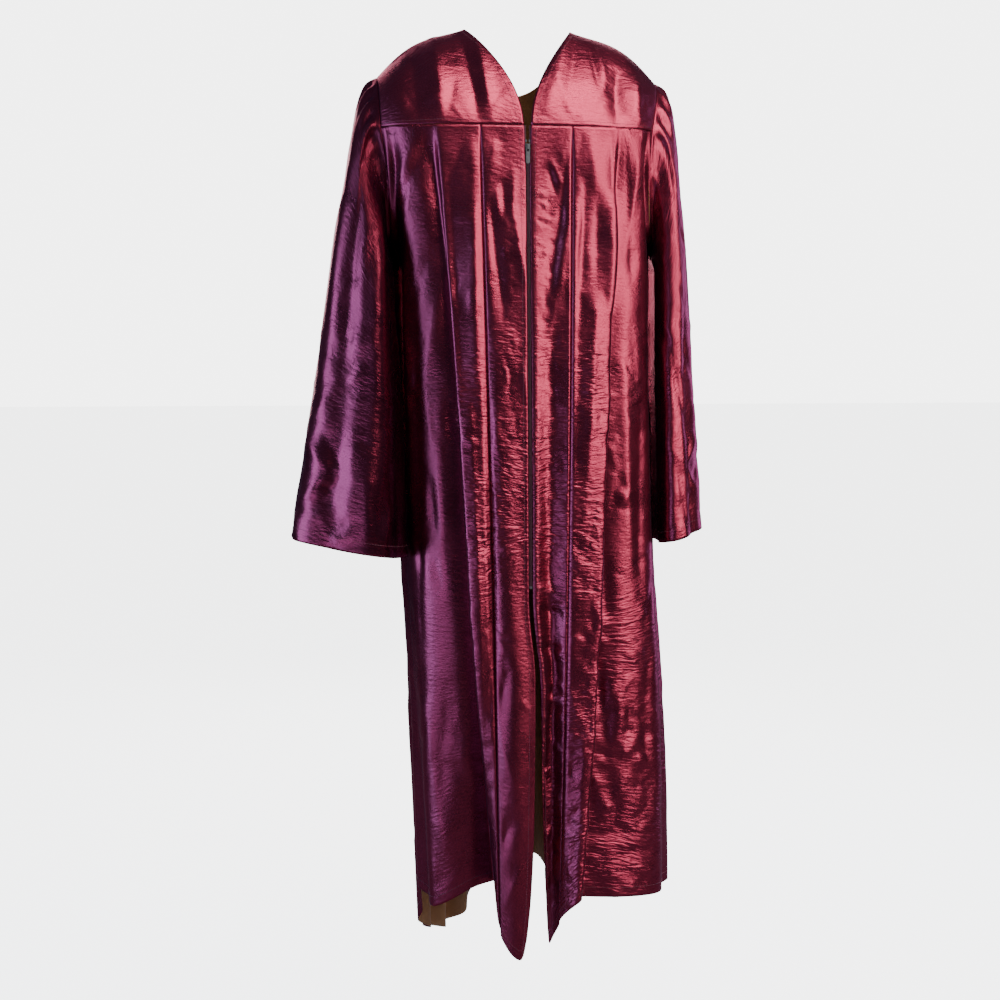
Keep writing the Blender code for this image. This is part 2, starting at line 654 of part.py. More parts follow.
def sleeve_grid(side, points, normals):
    """Middle points and normals of a sleeve, from its armhole loop to its cuff."""
    sign = -1 if side == "left" else 1
    rings = RINGS_LEFT if side == "left" else RINGS_RIGHT
    folds = FOLDS_LEFT if side == "left" else FOLDS_RIGHT
    angles = loop_angles(points)
    along = unit(np.roll(points, -1, axis=0) - np.roll(points, 1, axis=0))
    away = unit(np.cross(along, normals)) * (1 if side == "left" else -1)
    lean = np.radians(CAP_LEAN + (UNDERARM_LEAN - CAP_LEAN) * (1 - np.cos(angles)) / 2)[:, None]
    start_way = np.cos(lean) * away + np.sin(lean) * normals
    start_normal = np.cos(lean) * normals - np.sin(lean) * away
    start = points + start_way * (ARMHOLE_GAP + CLOTH / 2 * np.sin(lean))
    push = UNDERARM_PUSH + (CAP_PUSH - UNDERARM_PUSH) * ((1 + np.cos(angles)) / 2)[:, None]
    stations = [start] + [ring_points(ring, angles, sign) for ring in rings]
    slopes = [start_way * push]
    for i in range(1, len(stations) - 1):
        slopes.append((stations[i + 1] - stations[i - 1]) / 2)
    slopes.append(stations[-1] - stations[-2])
    spans = len(stations) - 1
    grid = []
    shares = []
    for row in range(SLEEVE_ROWS + 1):
        share = (row / SLEEVE_ROWS) ** SLEEVE_ROW_SPREAD
        place = min(share * spans, spans - 1e-9)
        i = int(place)
        t = place - i
        grid.append((1 + 2 * t) * (1 - t) ** 2 * stations[i] + t * (1 - t) ** 2 * slopes[i]
                    + t * t * (3 - 2 * t) * stations[i + 1] + t * t * (t - 1) * slopes[i + 1])
        shares.append(share)
    grid = np.array(grid)
    flip = -1 if side == "left" else 1
    normals = grid_normals(grid, wrap=True, flip=flip)
    for row, share in enumerate(shares):
        gather = smooth_step(0, GATHER_FULL, share) * (1 - smooth_step(GATHER_FULL, GATHER_LENGTH, share))
        for column, angle in enumerate(angles):
            turned = (angle + pi) % (2 * pi) - pi
            cap = 1 - smooth_step(radians(CAP_FULL), radians(CAP_ENDS), abs(turned))
            rise = GATHER_DEPTH * gather * cap * cos(turned * CAP_GATHERS * 2)
            for fold in folds:
                gap = (turned - radians(fold.angle) + pi) % (2 * pi) - pi
                shape = np.exp(-(gap / radians(fold.width)) ** 2)
                rise += shape * (fold.elbow * smooth_step(FOLD_STARTS, FOLD_FULL, share)
                                 + (fold.cuff - fold.elbow) * smooth_step(CUFF_STARTS, 1.0, share))
            grid[row, column] += rise * normals[row, column]
    rest_by_body(grid[1:], side)
    normals = grid_normals(grid, wrap=True, flip=flip)
    normals[0] = start_normal
    return grid, normals


def centre_depth(height):
    """Depth of the front outline at the zip."""
    return OUTLINE["front"](height)


def box_mesh(low, high):
    """Vertices and faces of a box."""
    (x0, y0, z0), (x1, y1, z1) = low, high
    vertices = [(x0, y0, z0), (x1, y0, z0), (x1, y1, z0), (x0, y1, z0),
                (x0, y0, z1), (x1, y0, z1), (x1, y1, z1), (x0, y1, z1)]
    faces = [(0, 3, 2, 1), (4, 5, 6, 7), (0, 1, 5, 4), (1, 2, 6, 5), (2, 3, 7, 6), (3, 0, 4, 7)]
    return vertices, faces


def extruded_mesh(profile, axis, low, high):
    """Vertices and faces of a profile drawn along X or Y between two places."""
    vertices = []
    for place in (low, high):
        for a, b in profile:
            vertices.append((place, a, b) if axis == "x" else (a, place, b))
    count = len(profile)
    faces = [tuple(range(count)), tuple(range(2 * count - 1, count - 1, -1))]
    for i in range(count):
        j = (i + 1) % count
        faces.append((i, i + count, j + count, j))
    return vertices, faces


def holed_plate_mesh(outer, inner, low, high):
    """Vertices and faces of a flat plate in X and Z with one hole, between two depths."""
    count = len(outer)
    vertices = [(x, y, z) for y in (low, high) for x, z in outer + inner]
    faces = []
    for i in range(count):
        j = (i + 1) % count
        faces.append((i, j, count + j, count + i))
        faces.append((2 * count + i, 3 * count + i, 3 * count + j, 2 * count + j))
        faces.append((i, 2 * count + i, 2 * count + j, j))
        faces.append((count + i, count + j, 3 * count + j, 3 * count + i))
    return vertices, faces


def clipped_box(half, low, high, low_clip, high_clip):
    """Outline of an upright box with clipped corners, from its upper left one clockwise."""
    return [(-half + high_clip, high), (half - high_clip, high), (half, high - high_clip),
            (half, low + low_clip), (half - low_clip, low), (-half + low_clip, low),
            (-half, low + low_clip), (-half, high - high_clip)]


def join(piece, other):
    """Makes a piece one body with another, which then only guides it."""
    modifier = piece.modifiers.new("with_" + other.name, "BOOLEAN")
    modifier.operation = "UNION"
    modifier.solver = "EXACT"
    modifier.object = other
    other.hide_render = True
    other.display_type = "WIRE"


def make_zip(panels, tape, metal):
    """The zip's tapes, chain, stops, slider, crown and pull tab."""
    for side in ("left", "right"):
        heights, middle, normals = panels[side]
        sign = -1 if side == "left" else 1
        rows = [i for i, height in enumerate(heights) if height > ZIP_END - TAPE_TAIL]
        lean = normals[rows, :TAPE_COLUMNS].copy()
        lean[:, 0] = (0, -1, 0)
        face = middle[rows, :TAPE_COLUMNS].copy()
        for row, i in enumerate(rows):
            face[row, 0] = (sign * (CHAIN_HALF + TOUCH), face[row, 0][1], heights[i])
        face -= lean * (CLOTH / 2 + TAPE_GAP)
        vertices, faces = wall_mesh(face, face - lean * TAPE_THICK)
        add_object("zip_tape_" + side, vertices, faces, tape)

    heights = [h for h in panels["left"][0] if ZIP_END < h < CHAIN_TOP]
    heights = [CHAIN_TOP] + heights + [ZIP_END]
    face = []
    rear = []
    for height in heights:
        depth = centre_depth(height) + CHAIN_FACE
        face.append([(x, depth, height) for x in (-CHAIN_HALF, CHAIN_HALF)])
        rear.append([(x, depth + CHAIN_THICK, height) for x in (-CHAIN_HALF, CHAIN_HALF)])
    vertices, faces = wall_mesh(np.array(face), np.array(rear))
    add_object("zip_chain", vertices, faces, tape)

    depth = centre_depth(SLIDER_HEIGHT)
    front = depth + CHAIN_FACE - PLATE_GAP
    low = SLIDER_HEIGHT - SLIDER_TALL / 2
    high = SLIDER_HEIGHT + SLIDER_TALL / 2
    rear_plate = depth + CHAIN_FACE + CHAIN_THICK + PLATE_GAP
    neck_low = CHAIN_TOP + PLATE_GAP
    half = SLIDER_WIDE / 2
    vertices, faces = box_mesh((-half, front - PLATE_THICK, low), (half, front, high))
    slider = add_object("slider", vertices, faces, metal)
    vertices, faces = box_mesh((-half, rear_plate, low), (half, rear_plate + PLATE_THICK, high))
    join(slider, add_object("slider_rear", vertices, faces, metal))
    overlap = PLATE_THICK / 2
    vertices, faces = box_mesh((-NECK_WIDE / 2, front - overlap, neck_low),
                               (NECK_WIDE / 2, rear_plate + overlap, high - overlap))
    join(slider, add_object("slider_neck", vertices, faces, metal))

    seat = front - PLATE_THICK - TOUCH
    reach = seat - CROWN_SPACE
    top = SLIDER_HEIGHT + CROWN_TALL / 2
    base = SLIDER_HEIGHT - CROWN_TALL / 2
    profile = [(seat, base), (seat, base + CROWN_POST), (reach, base + CROWN_POST),
               (reach, top - CROWN_POST), (seat, top - CROWN_POST), (seat, top),
               (reach - CROWN_BAR, top - CROWN_SLOPE), (reach - CROWN_BAR, base + CROWN_SLOPE)]
    vertices, faces = extruded_mesh(profile, "x", -CROWN_WIDE / 2, CROWN_WIDE / 2)
    add_object("slider_crown", vertices, faces, metal)

    axis = (0.0, seat - CROWN_SPACE / 2, SLIDER_HEIGHT)
    bar = TAB_BAR / 2
    end = -TAB_LONG
    outer = clipped_box(TAB_HALF, end, bar, TAB_END_CLIP, TAB_TOP_CLIP)
    inner = clipped_box(TAB_EYE_HALF, -TAB_EYE, -bar, EYE_CLIP, EYE_CLIP)
    outer = [(x, z + axis[2]) for x, z in outer]
    inner = [(x, z + axis[2]) for x, z in inner]
    vertices, faces = holed_plate_mesh(outer, inner, axis[1] - bar, axis[1] + bar)
    add_object("pull_tab", vertices, faces, metal, origin=axis)

    for side, sign in (("left", -1), ("right", 1)):
        low = STOP_TOP - STOP_TALL
        depth = centre_depth(STOP_TOP) + CLOTH / 2 + TAPE_GAP - 2 * TOUCH
        middle = sign * (CHAIN_HALF + TOUCH)
        vertices, faces = box_mesh((middle - STOP_WIDE / 2, depth - STOP_THICK, low),
                                   (middle + STOP_WIDE / 2, depth, STOP_TOP))
        add_object("top_stop_" + side, vertices, faces, metal)
    high = ZIP_END - TOUCH
    depth = centre_depth(high) + CHAIN_FACE
    vertices, faces = box_mesh((-CHAIN_HALF, depth, high - STOP_TALL),
                               (CHAIN_HALF, depth + CHAIN_THICK, high))
    add_object("bottom_stop", vertices, faces, metal)


def main():
    """Builds every piece of the gown."""
    for piece in list(bpy.data.objects):
        bpy.data.objects.remove(piece)
    satin = make_material("satin", SATIN)
    tape = make_material("zip_tape", ZIP_TAPE)
    metal = make_material("zip_metal", ZIP_METAL)

    front_heights = row_heights(FRONT_SEAM)
    back_heights = row_heights(BACK_SEAM)
    panels = {}
    yokes = {}
    front_tops = {}
    for side in ("left", "right"):
        rows = [front_row(height, side) for height in front_heights]
        front_tops[side] = rows[0]
        middle = panel_grid(front_heights, rows)
        normals = grid_normals(middle, flip=1 if side == "left" else -1)
        normals[0] = flatten(normals[0], 2)
        normals[ARMHOLE_ROWS:, -1] = flatten(normals[ARMHOLE_ROWS:, -1], 1)
        panels[side] = (front_heights, middle, normals)
        add_wall("front_" + side, middle, normals, satin)
        yokes[side] = front_yoke(side, front_tops[side])
        add_wall("yoke_front_" + side, *yokes[side], satin)

    halves = {side: [back_row(height, side) for height in back_heights] for side in ("left", "right")}
    left = panel_grid(back_heights, halves["left"])
    right = panel_grid(back_heights, halves["right"])
    back = np.concatenate([left[:, ::-1], right[:, 1:]], axis=1)
    back_normals = grid_normals(back)
    back_normals[0] = flatten(back_normals[0], 2)
    for column in (0, -1):
        back_normals[ARMHOLE_ROWS:, column] = flatten(back_normals[ARMHOLE_ROWS:, column], 1)
    add_wall("back_panel", back, back_normals, satin)
    back_top = {side: halves[side][0] for side in ("left", "right")}
    yoke, yoke_normals = back_yoke(back_top)
    add_wall("yoke_back", yoke, yoke_normals, satin)

    for side in ("left", "right"):
        edge = 0 if side == "left" else -1
        _, front, front_normals = panels[side]
        pieces = [(*yokes[side], -1, False),
                  (front[:ARMHOLE_ROWS + 1], front_normals[:ARMHOLE_ROWS + 1], -1, False),
                  (back[:ARMHOLE_ROWS + 1], back_normals[:ARMHOLE_ROWS + 1], edge, True),
                  (yoke, yoke_normals, edge, True)]
        points, normals, counts = armhole_loop(pieces)
        points, normals = split_edges(points, normals, counts)
        add_wall("sleeve_" + side, *sleeve_grid(side, points, normals), satin, wrap=True)

    make_zip(panels, tape, metal)


main()
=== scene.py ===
"""Look of a burgundy satin graduation gown, filled out, with nobody in it.

Metres, +Z up, the front towards -Y. Left and right are as seen from the front, so left is -X.
Each cloth piece is a thin shell on the form of its solid, with its creases and crumples added.
"""
import logging
from dataclasses import dataclass, field
from enum import Enum
from math import cos, pi, radians, sin
from typing import Callable, NamedTuple

import bpy
import numpy as np
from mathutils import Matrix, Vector


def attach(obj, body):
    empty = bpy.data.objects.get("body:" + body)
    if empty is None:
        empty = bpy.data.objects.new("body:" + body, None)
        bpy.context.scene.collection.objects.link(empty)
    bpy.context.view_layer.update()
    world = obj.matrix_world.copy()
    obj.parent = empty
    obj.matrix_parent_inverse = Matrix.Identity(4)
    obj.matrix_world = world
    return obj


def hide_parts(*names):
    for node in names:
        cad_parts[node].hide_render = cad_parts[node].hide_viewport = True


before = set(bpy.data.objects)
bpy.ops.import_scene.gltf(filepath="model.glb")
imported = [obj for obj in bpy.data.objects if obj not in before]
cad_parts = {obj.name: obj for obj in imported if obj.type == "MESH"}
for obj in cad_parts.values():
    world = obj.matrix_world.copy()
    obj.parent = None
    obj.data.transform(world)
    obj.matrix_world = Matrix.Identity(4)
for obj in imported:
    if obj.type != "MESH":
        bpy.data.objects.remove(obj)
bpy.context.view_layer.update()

Colour = tuple[float, float, float, float]

LOG = logging.getLogger("gown")
TINY = 1e-12
SHORTEST_CREASE = 1e-6

# A crease: how many widths it reaches, and the powers of its soft ends and sides
CREASE_REACH = 3
CREASE_END_POWER = 0.7
CREASE_SIDE_POWER = 1.5

# A crumple's creases: least and greatest share of its long, rise and width
CRUMPLE_LONG = (0.35, 1.0)
CRUMPLE_RISE = (0.3, 1.0)
CRUMPLE_WIDTH = (0.6, 1.3)

# Small wrinkles of the satin's material: scale and weight of each layer, the bend and swing of their
# lines, and the patches where they are strong
WRINKLE_LAYERS = ((1.0, 1.0), (2.4, 0.40))
WRINKLE_BEND = 6.0
WRINKLE_SWING = 0.060
PATCH_SCALE = 7.0
PATCH_EDGES = (0.40, 0.60)

# Weave of the cloth's material: stretch along the threads and scale of the slubs
THREAD_STRETCH = (0.45, 1.0, 1.0)
SLUB_SCALE = 260.0

# Faces round a stitch or a coil
ROD_SIDES = 6


class Side(Enum):
    """Half of the gown, as seen from the front."""

    LEFT = "left"
    RIGHT = "right"

    @property
    def sign(self) -> int:
        """Direction of this side along X."""
        return -1 if self is Side.LEFT else 1


class Half(Enum):
    """Front or back of the gown."""

    FRONT = "front"
    BACK = "back"


class Line(NamedTuple):
    """A fold line: across and out values at yoke, hip and hem, and its height at the hem."""

    name: str
    yoke: float
    hip: float
    hem: float
    out_yoke: float
    out_hip: float
    out_hem: float
    drop: float


class Section(NamedTuple):
    """Plan outline of the body at one height."""

    height: float
    left: float
    right: float
    front: float
    back: float
    power: float


class Parting(NamedTuple):
    """How far each front's free edge stands off the zip's line."""

    height: float
    left: float
    right: float


class Ring(NamedTuple):
    """A sleeve ring: outer and inner edge in X and height, front and back in Y."""

    name: str
    outer: float
    outer_height: float
    inner: float
    inner_height: float
    front: float
    back: float


class SleeveFold(NamedTuple):
    """A long fold of a sleeve: angle from its outer edge towards the front, and its heights."""

    angle: float
    width: float
    elbow: float
    cuff: float


class Crease(NamedTuple):
    """A crease from one place to another, in its piece's own coordinates.

    Width is the half width of its soft profile, rise is its height, less than 0 for a trough.
    """

    across: float
    along: float
    across_end: float
    along_end: float
    width: float
    rise: float


class Crumple(NamedTuple):
    """A region of small seeded creases in a piece's own coordinates."""

    low: tuple[float, float]
    high: tuple[float, float]
    count: int
    long: float
    width: float
    rise: float
    lean: float
    spread: float
    seed: int


SECTIONS = (
    Section(-0.114, -0.219, 0.201, -0.112, 0.104, 3.4),
    Section(-0.200, -0.204, 0.197, -0.117, 0.108, 2.9),
    Section(-0.300, -0.186, 0.194, -0.127, 0.112, 2.6),
    Section(-0.700, -0.177, 0.205, -0.152, 0.130, 2.3),
    Section(-0.950, -0.162, 0.222, -0.160, 0.145, 2.3),
    Section(-1.150, -0.154, 0.229, -0.166, 0.160, 2.3),
    Section(-1.310, -0.147, 0.230, -0.171, 0.170, 2.3),
)
PARTINGS = (
    Parting(-0.114, 0.0026, 0.0026),
    Parting(-0.150, 0.0013, 0.0013),
    Parting(-0.190, 0.0000, 0.0000),
    Parting(-0.780, 0.0000, 0.0000),
    Parting(-0.900, -0.0095, 0.0115),
    Parting(-1.080, -0.0070, 0.0185),
    Parting(-1.180, -0.0020, 0.0245),
    Parting(-1.300, 0.0120, 0.0330),
)
STRIPS = {
    Side.LEFT: (
        Line("edge", 0.0028, 0.0028, 0.0028, 0.000, 0.000, 0.008, -1.272),
        Line("placket", 0.010, 0.010, 0.011, 0.001, 0.001, 0.012, -1.300),
        Line("middle", 0.036, 0.031, 0.026, 0.002, 0.007, 0.012, -1.294),
        Line("flute inside", 0.064, 0.051, 0.042, 0.003, 0.003, 0.006, -1.272),
        Line("flute", 0.067, 0.054, 0.045, -0.004, -0.003, 0.000, -1.262),
        Line("flute outside", 0.070, 0.057, 0.048, 0.003, 0.004, 0.000, -1.250),
        Line("outer face", 0.097, 0.071, 0.054, 0.004, 0.010, -0.014, -1.228),
        Line("crest", 0.124, 0.083, 0.060, 0.006, 0.014, -0.030, -1.216),
        Line("fold", 0.130, 0.087, 0.068, 0.002, 0.003, -0.048, -1.211),
        Line("valley", 0.137, 0.086, 0.082, -0.005, -0.020, -0.064, -1.213),
    ),
    Side.RIGHT: (
        Line("edge", 0.0028, 0.0028, 0.0028, 0.000, 0.000, -0.034, -1.274),
        Line("placket", 0.010, 0.010, 0.012, 0.001, 0.001, -0.034, -1.297),
        Line("trough", 0.034, 0.030, 0.028, 0.001, -0.012, -0.028, -1.283),
        Line("flute inside", 0.061, 0.052, 0.041, 0.003, 0.001, -0.012, -1.262),
        Line("flute", 0.064, 0.055, 0.044, -0.004, -0.004, -0.010, -1.254),
        Line("flute outside", 0.067, 0.058, 0.048, 0.003, 0.004, -0.003, -1.244),
        Line("outer face", 0.095, 0.084, 0.058, 0.004, 0.008, 0.007, -1.230),
        Line("crest", 0.124, 0.102, 0.067, 0.004, 0.010, 0.010, -1.221),
        Line("fold", 0.130, 0.107, 0.073, 0.002, 0.002, 0.003, -1.221),
        Line("valley", 0.137, 0.107, 0.080, -0.004, -0.015, -0.014, -1.223),
    ),
}
FLANKS = {
    Side.LEFT: (
        Line("rise", 0.20, 0.20, 0.18, 0.002, -0.006, -0.034, -1.218),
        Line("swell", 0.46, 0.48, 0.44, 0.004, 0.006, 0.004, -1.247),
        Line("hollow", 0.72, 0.72, 0.70, -0.006, -0.003, -0.006, -1.248),
        Line("side ridge", 0.88, 0.88, 0.88, 0.002, 0.002, 0.004, -1.246),
        Line("side", 1.00, 1.00, 1.00, 0.000, 0.000, 0.000, -1.248),
    ),
    Side.RIGHT: (
        Line("rise", 0.20, 0.22, 0.22, 0.002, -0.003, 0.002, -1.226),
        Line("swell", 0.46, 0.50, 0.50, 0.004, 0.007, 0.012, -1.234),
        Line("hollow", 0.72, 0.74, 0.74, -0.006, -0.004, -0.005, -1.243),
        Line("side ridge", 0.88, 0.90, 0.90, 0.002, 0.002, 0.006, -1.247),
        Line("side", 1.00, 1.00, 1.00, 0.000, 0.000, 0.000, -1.250),
    ),
}
BACKS = {
    Side.LEFT: (
        Line("centre", 0.00, 0.00, 0.00, 0.003, 0.006, 0.008, -1.262),
        Line("valley 1", 0.08, 0.09, 0.10, -0.005, -0.012, -0.016, -1.284),
        Line("flute 1", 0.17, 0.19, 0.20, 0.005, 0.010, 0.014, -1.326),
        Line("valley 2", 0.26, 0.28, 0.29, -0.005, -0.010, -0.014, -1.350),
        Line("flute 2", 0.35, 0.38, 0.40, 0.005, 0.009, 0.012, -1.367),
        Line("valley 3", 0.45, 0.48, 0.50, -0.005, -0.011, -0.016, -1.363),
        Line("flute 3", 0.55, 0.58, 0.61, 0.005, 0.010, 0.010, -1.354),
        Line("valley 4", 0.66, 0.68, 0.71, -0.004, -0.008, -0.012, -1.346),
        Line("flute 4", 0.78, 0.79, 0.81, 0.004, 0.006, 0.004, -1.326),
        Line("side valley", 0.90, 0.90, 0.91, -0.003, -0.003, -0.004, -1.298),
        Line("side", 1.00, 1.00, 1.00, 0.000, 0.000, 0.000, -1.248),
    ),
    Side.RIGHT: (
        Line("centre", 0.00, 0.00, 0.00, 0.003, 0.006, 0.008, -1.262),
        Line("valley 1", 0.09, 0.08, 0.09, -0.005, -0.012, -0.014, -1.262),
        Line("flute 1", 0.18, 0.17, 0.18, 0.005, 0.010, 0.015, -1.272),
        Line("valley 2", 0.27, 0.27, 0.28, -0.005, -0.009, -0.016, -1.306),
        Line("flute 2", 0.36, 0.37, 0.38, 0.005, 0.009, 0.012, -1.296),
        Line("valley 3", 0.46, 0.47, 0.49, -0.005, -0.012, -0.018, -1.280),
        Line("flute 3", 0.56, 0.58, 0.60, 0.005, 0.010, 0.012, -1.270),
        Line("valley 4", 0.67, 0.69, 0.71, -0.004, -0.008, -0.012, -1.258),
        Line("flute 4", 0.78, 0.80, 0.82, 0.004, 0.006, 0.008, -1.260),
        Line("side valley", 0.90, 0.91, 0.92, -0.003, -0.003, -0.004, -1.258),
        Line("side", 1.00, 1.00, 1.00, 0.000, 0.000, 0.000, -1.252),
    ),
}
RINGS = {
    Side.LEFT: (
        Ring("upper arm", 0.2600, -0.210, 0.1860, -0.330, -0.104, 0.086),
        Ring("elbow", 0.2990, -0.460, 0.1700, -0.510, -0.126, 0.086),
        Ring("cuff", 0.3370, -0.696, 0.1640, -0.728, -0.146, 0.090),
    ),
    Side.RIGHT: (
        Ring("upper arm", 0.2430, -0.210, 0.1960, -0.330, -0.078, 0.098),
        Ring("elbow", 0.2600, -0.460, 0.1980, -0.505, -0.080, 0.118),
        Ring("cuff", 0.2770, -0.694, 0.2000, -0.718, -0.086, 0.136),
    ),
}
# Share of small wrinkles that the lower part of a front adds
LOW_CRUMPLE = {Side.LEFT: 0.05, Side.RIGHT: 0.95}
SLEEVE_FOLDS = {
    Side.LEFT: (
        SleeveFold(38, 20, 0.004, 0.008),
        SleeveFold(72, 18, -0.005, -0.009),
        SleeveFold(104, 20, 0.006, 0.010),
        SleeveFold(140, 16, -0.004, -0.007),
        SleeveFold(222, 20, 0.004, 0.008),
        SleeveFold(268, 22, -0.005, -0.009),
        SleeveFold(318, 20, 0.004, 0.008),
    ),
    Side.RIGHT: (
        SleeveFold(34, 18, 0.003, 0.005),
        SleeveFold(66, 18, -0.004, -0.007),
        SleeveFold(108, 18, 0.004, 0.007),
        SleeveFold(230, 20, 0.003, 0.005),
        SleeveFold(286, 20, -0.005, -0.008),
        SleeveFold(322, 18, 0.003, 0.006),
    ),
}


def curve_through(knots: list[float], values: list[float]) -> Callable[[np.ndarray], np.ndarray]:
    """Smooth curve through values at knots, with no overshoot, and level beyond its ends.

    Args:
        knots: places of the values, in any order.
        values: one value at each knot.

    Returns:
        A function from places to values.
    """
    order = np.argsort(knots)
    places = np.asarray(knots, float)[order]
    heights = np.asarray(values, float)[order]
    rise = np.diff(heights) / np.diff(places)
    slope = np.zeros(len(heights))
    for i in range(1, len(heights) - 1):
        if rise[i - 1] * rise[i] > 0:
            slope[i] = 2 * rise[i - 1] * rise[i] / (rise[i - 1] + rise[i])
    slope[0] = rise[0]
    slope[-1] = rise[-1]

    def value(at: np.ndarray) -> np.ndarray:
        """Value at each place."""
        at = np.clip(at, places[0], places[-1])
        i = np.clip(np.searchsorted(places, at) - 1, 0, len(places) - 2)
        step = places[i + 1] - places[i]
        t = (at - places[i]) / step
        start = (1 + 2 * t) * (1 - t) ** 2 * heights[i] + t * (1 - t) ** 2 * step * slope[i]
        return start + t * t * (3 - 2 * t) * heights[i + 1] + t * t * (t - 1) * step * slope[i + 1]
    return value


def smooth_step(low: float, high: float, at: np.ndarray) -> np.ndarray:
    """0 below low, 1 above high, soft between them."""
    t = np.clip((np.asarray(at, float) - low) / (high - low), 0.0, 1.0)
    return t * t * (3 - 2 * t)


def unit(vectors: np.ndarray) -> np.ndarray:
    """Vectors of length one."""
    return vectors / np.maximum(np.linalg.norm(vectors, axis=-1, keepdims=True), TINY)


def grid_normals(grid: np.ndarray, wrap: bool, flip: int) -> np.ndarray:
    """Normals of a grid of points, rows first.

    Args:
        grid: rows by columns by 3.
        wrap: whether the last column meets the first.
        flip: 1 or -1, so that the normals point outwards.

    Returns:
        One normal for each point.
    """
    down = np.gradient(grid, axis=0)
    if wrap:
        across = np.roll(grid, -1, axis=1) - np.roll(grid, 1, axis=1)
    else:
        across = np.gradient(grid, axis=1)
    return unit(np.cross(across, down) * flip)


def soften(points: np.ndarray, steps: tuple[int, ...]) -> np.ndarray:
    """Smooth curves through the points of each row.

    Args:
        points: rows by points by values.
        steps: how many new points stand for each old one, by interval.

    Returns:
        Rows by new points by values.
    """
    first = 2 * points[:, :1] - points[:, 1:2]
    last = 2 * points[:, -1:] - points[:, -2:-1]
    padded = np.concatenate([first, points, last], axis=1)
    stretches = []
    for i, count in enumerate(steps):
        before, start, end, after = (padded[:, i + k, None] for k in range(4))
        t = (np.arange(count) / count)[None, :, None]
        stretches.append(0.5 * (2 * start + (end - before) * t
                                + (2 * before - 5 * start + 4 * end - after) * t * t
                                + (3 * start - before - 3 * end + after) * t ** 3))
    return np.concatenate(stretches + [points[:, -1:]], axis=1)


def crease_relief(across: np.ndarray, along: np.ndarray, creases: list[Crease]) -> np.ndarray:
    """Height that creases add at each place, soft to both sides and at both ends.

    Args:
        across: the places' first coordinate.
        along: the places' second coordinate.
        creases: the creases, in the same coordinates.

    Returns:
        Height at each place, in metres.
    """
    total = np.zeros_like(across)
    for crease in creases:
        run = np.array([crease.across_end - crease.across, crease.along_end - crease.along])
        long = max(float(np.hypot(*run)), SHORTEST_CREASE)
        way = run / long
        dx = across - crease.across
        dy = along - crease.along
        t = (dx * way[0] + dy * way[1]) / long
        aside = np.abs(dx * way[1] - dy * way[0]) / crease.width
        near = (t > 0) & (t < 1) & (aside < CREASE_REACH)
        ends = np.sin(pi * t[near]) ** CREASE_END_POWER
        total[near] += crease.rise * ends * np.exp(-aside[near] ** CREASE_SIDE_POWER)
    return total


def crumple_creases(crumple: Crumple) -> list[Crease]:
    """Small creases of one region, from its seed.

    Args:
        crumple: the region, the usual length, width, rise and lean of a crease and its spread.

    Returns:
        Creases, about as many ridges as troughs.
    """
    draw = np.random.default_rng(crumple.seed)
    creases = []
    for _ in range(crumple.count):
        middle = draw.uniform(crumple.low, crumple.high)
        angle = radians(draw.normal(crumple.lean, crumple.spread))
        half = crumple.long * draw.uniform(*CRUMPLE_LONG) / 2
        reach = np.array([cos(angle), sin(angle)]) * half
        rise = crumple.rise * draw.uniform(*CRUMPLE_RISE) * draw.choice([-1, 1])
        width = crumple.width * draw.uniform(*CRUMPLE_WIDTH)
        creases.append(Crease(*(middle - reach), *(middle + reach), width, rise))
    return creases


def all_creases(placed: tuple[Crease, ...], crumples: tuple[Crumple, ...]) -> list[Crease]:
    """The listed creases, and after them those of the crumpled regions.

    Args:
        placed: the listed creases.
        crumples: the crumpled regions.

    Returns:
        All of them, in that order.
    """
    creases = list(placed)
    for crumple in crumples:
        creases += crumple_creases(crumple)
    return creases


class Quarter:
    """A quarter of the body's plan outline at one height, from the centre to the side."""

    points = 181
    reach = 0.004

    def __init__(self, outline: "BodyOutline", height: float, side: Side, half: Half) -> None:
        """Works out the curve once for its height.

        Args:
            outline: the body's sizes.
            height: height of the plan.
            side: left or right.
            half: front or back.
        """
        angles = np.linspace(0, pi / 2, self.points)
        power = 2 / outline.value("power", height)
        self.x = outline.value(side.value, height) * np.sin(angles) ** power
        self.y = outline.value(half.value, height) * np.clip(np.cos(angles), 0, 1) ** power
        self.run = np.concatenate([[0], np.cumsum(np.hypot(np.diff(self.x), np.diff(self.y)))])
        self.length = self.run[-1]
        self.turn = 1 if (side is Side.LEFT) == (half is Half.FRONT) else -1
        self.outward = side.sign

    def place(self, along: np.ndarray, out: np.ndarray) -> np.ndarray:
        """Plan points at distances along the outline from the centre, moved out from it.

        Args:
            along: distances from the centre, less than 0 past it.
            out: how far each point stands out from the outline.

        Returns:
            X and Y of each point.
        """
        x = np.where(along < 0, self.outward * along, np.interp(along, self.run, self.x))
        y = np.where(along < 0, self.y[0], np.interp(along, self.run, self.y))
        ahead = np.minimum(along + self.reach, self.length)
        behind = np.maximum(ahead - 2 * self.reach, 0.0)
        tx = np.interp(ahead, self.run, self.x) - np.interp(behind, self.run, self.x)
        ty = np.interp(ahead, self.run, self.y) - np.interp(behind, self.run, self.y)
        tx = np.where(along < 0, self.outward, tx)
        ty = np.where(along < 0, 0.0, ty)
        tangent = unit(np.stack([tx, ty], axis=-1))
        normal = self.turn * np.stack([-tangent[..., 1], tangent[..., 0]], axis=-1)
        return np.stack([x, y], axis=-1) + out[..., None] * normal


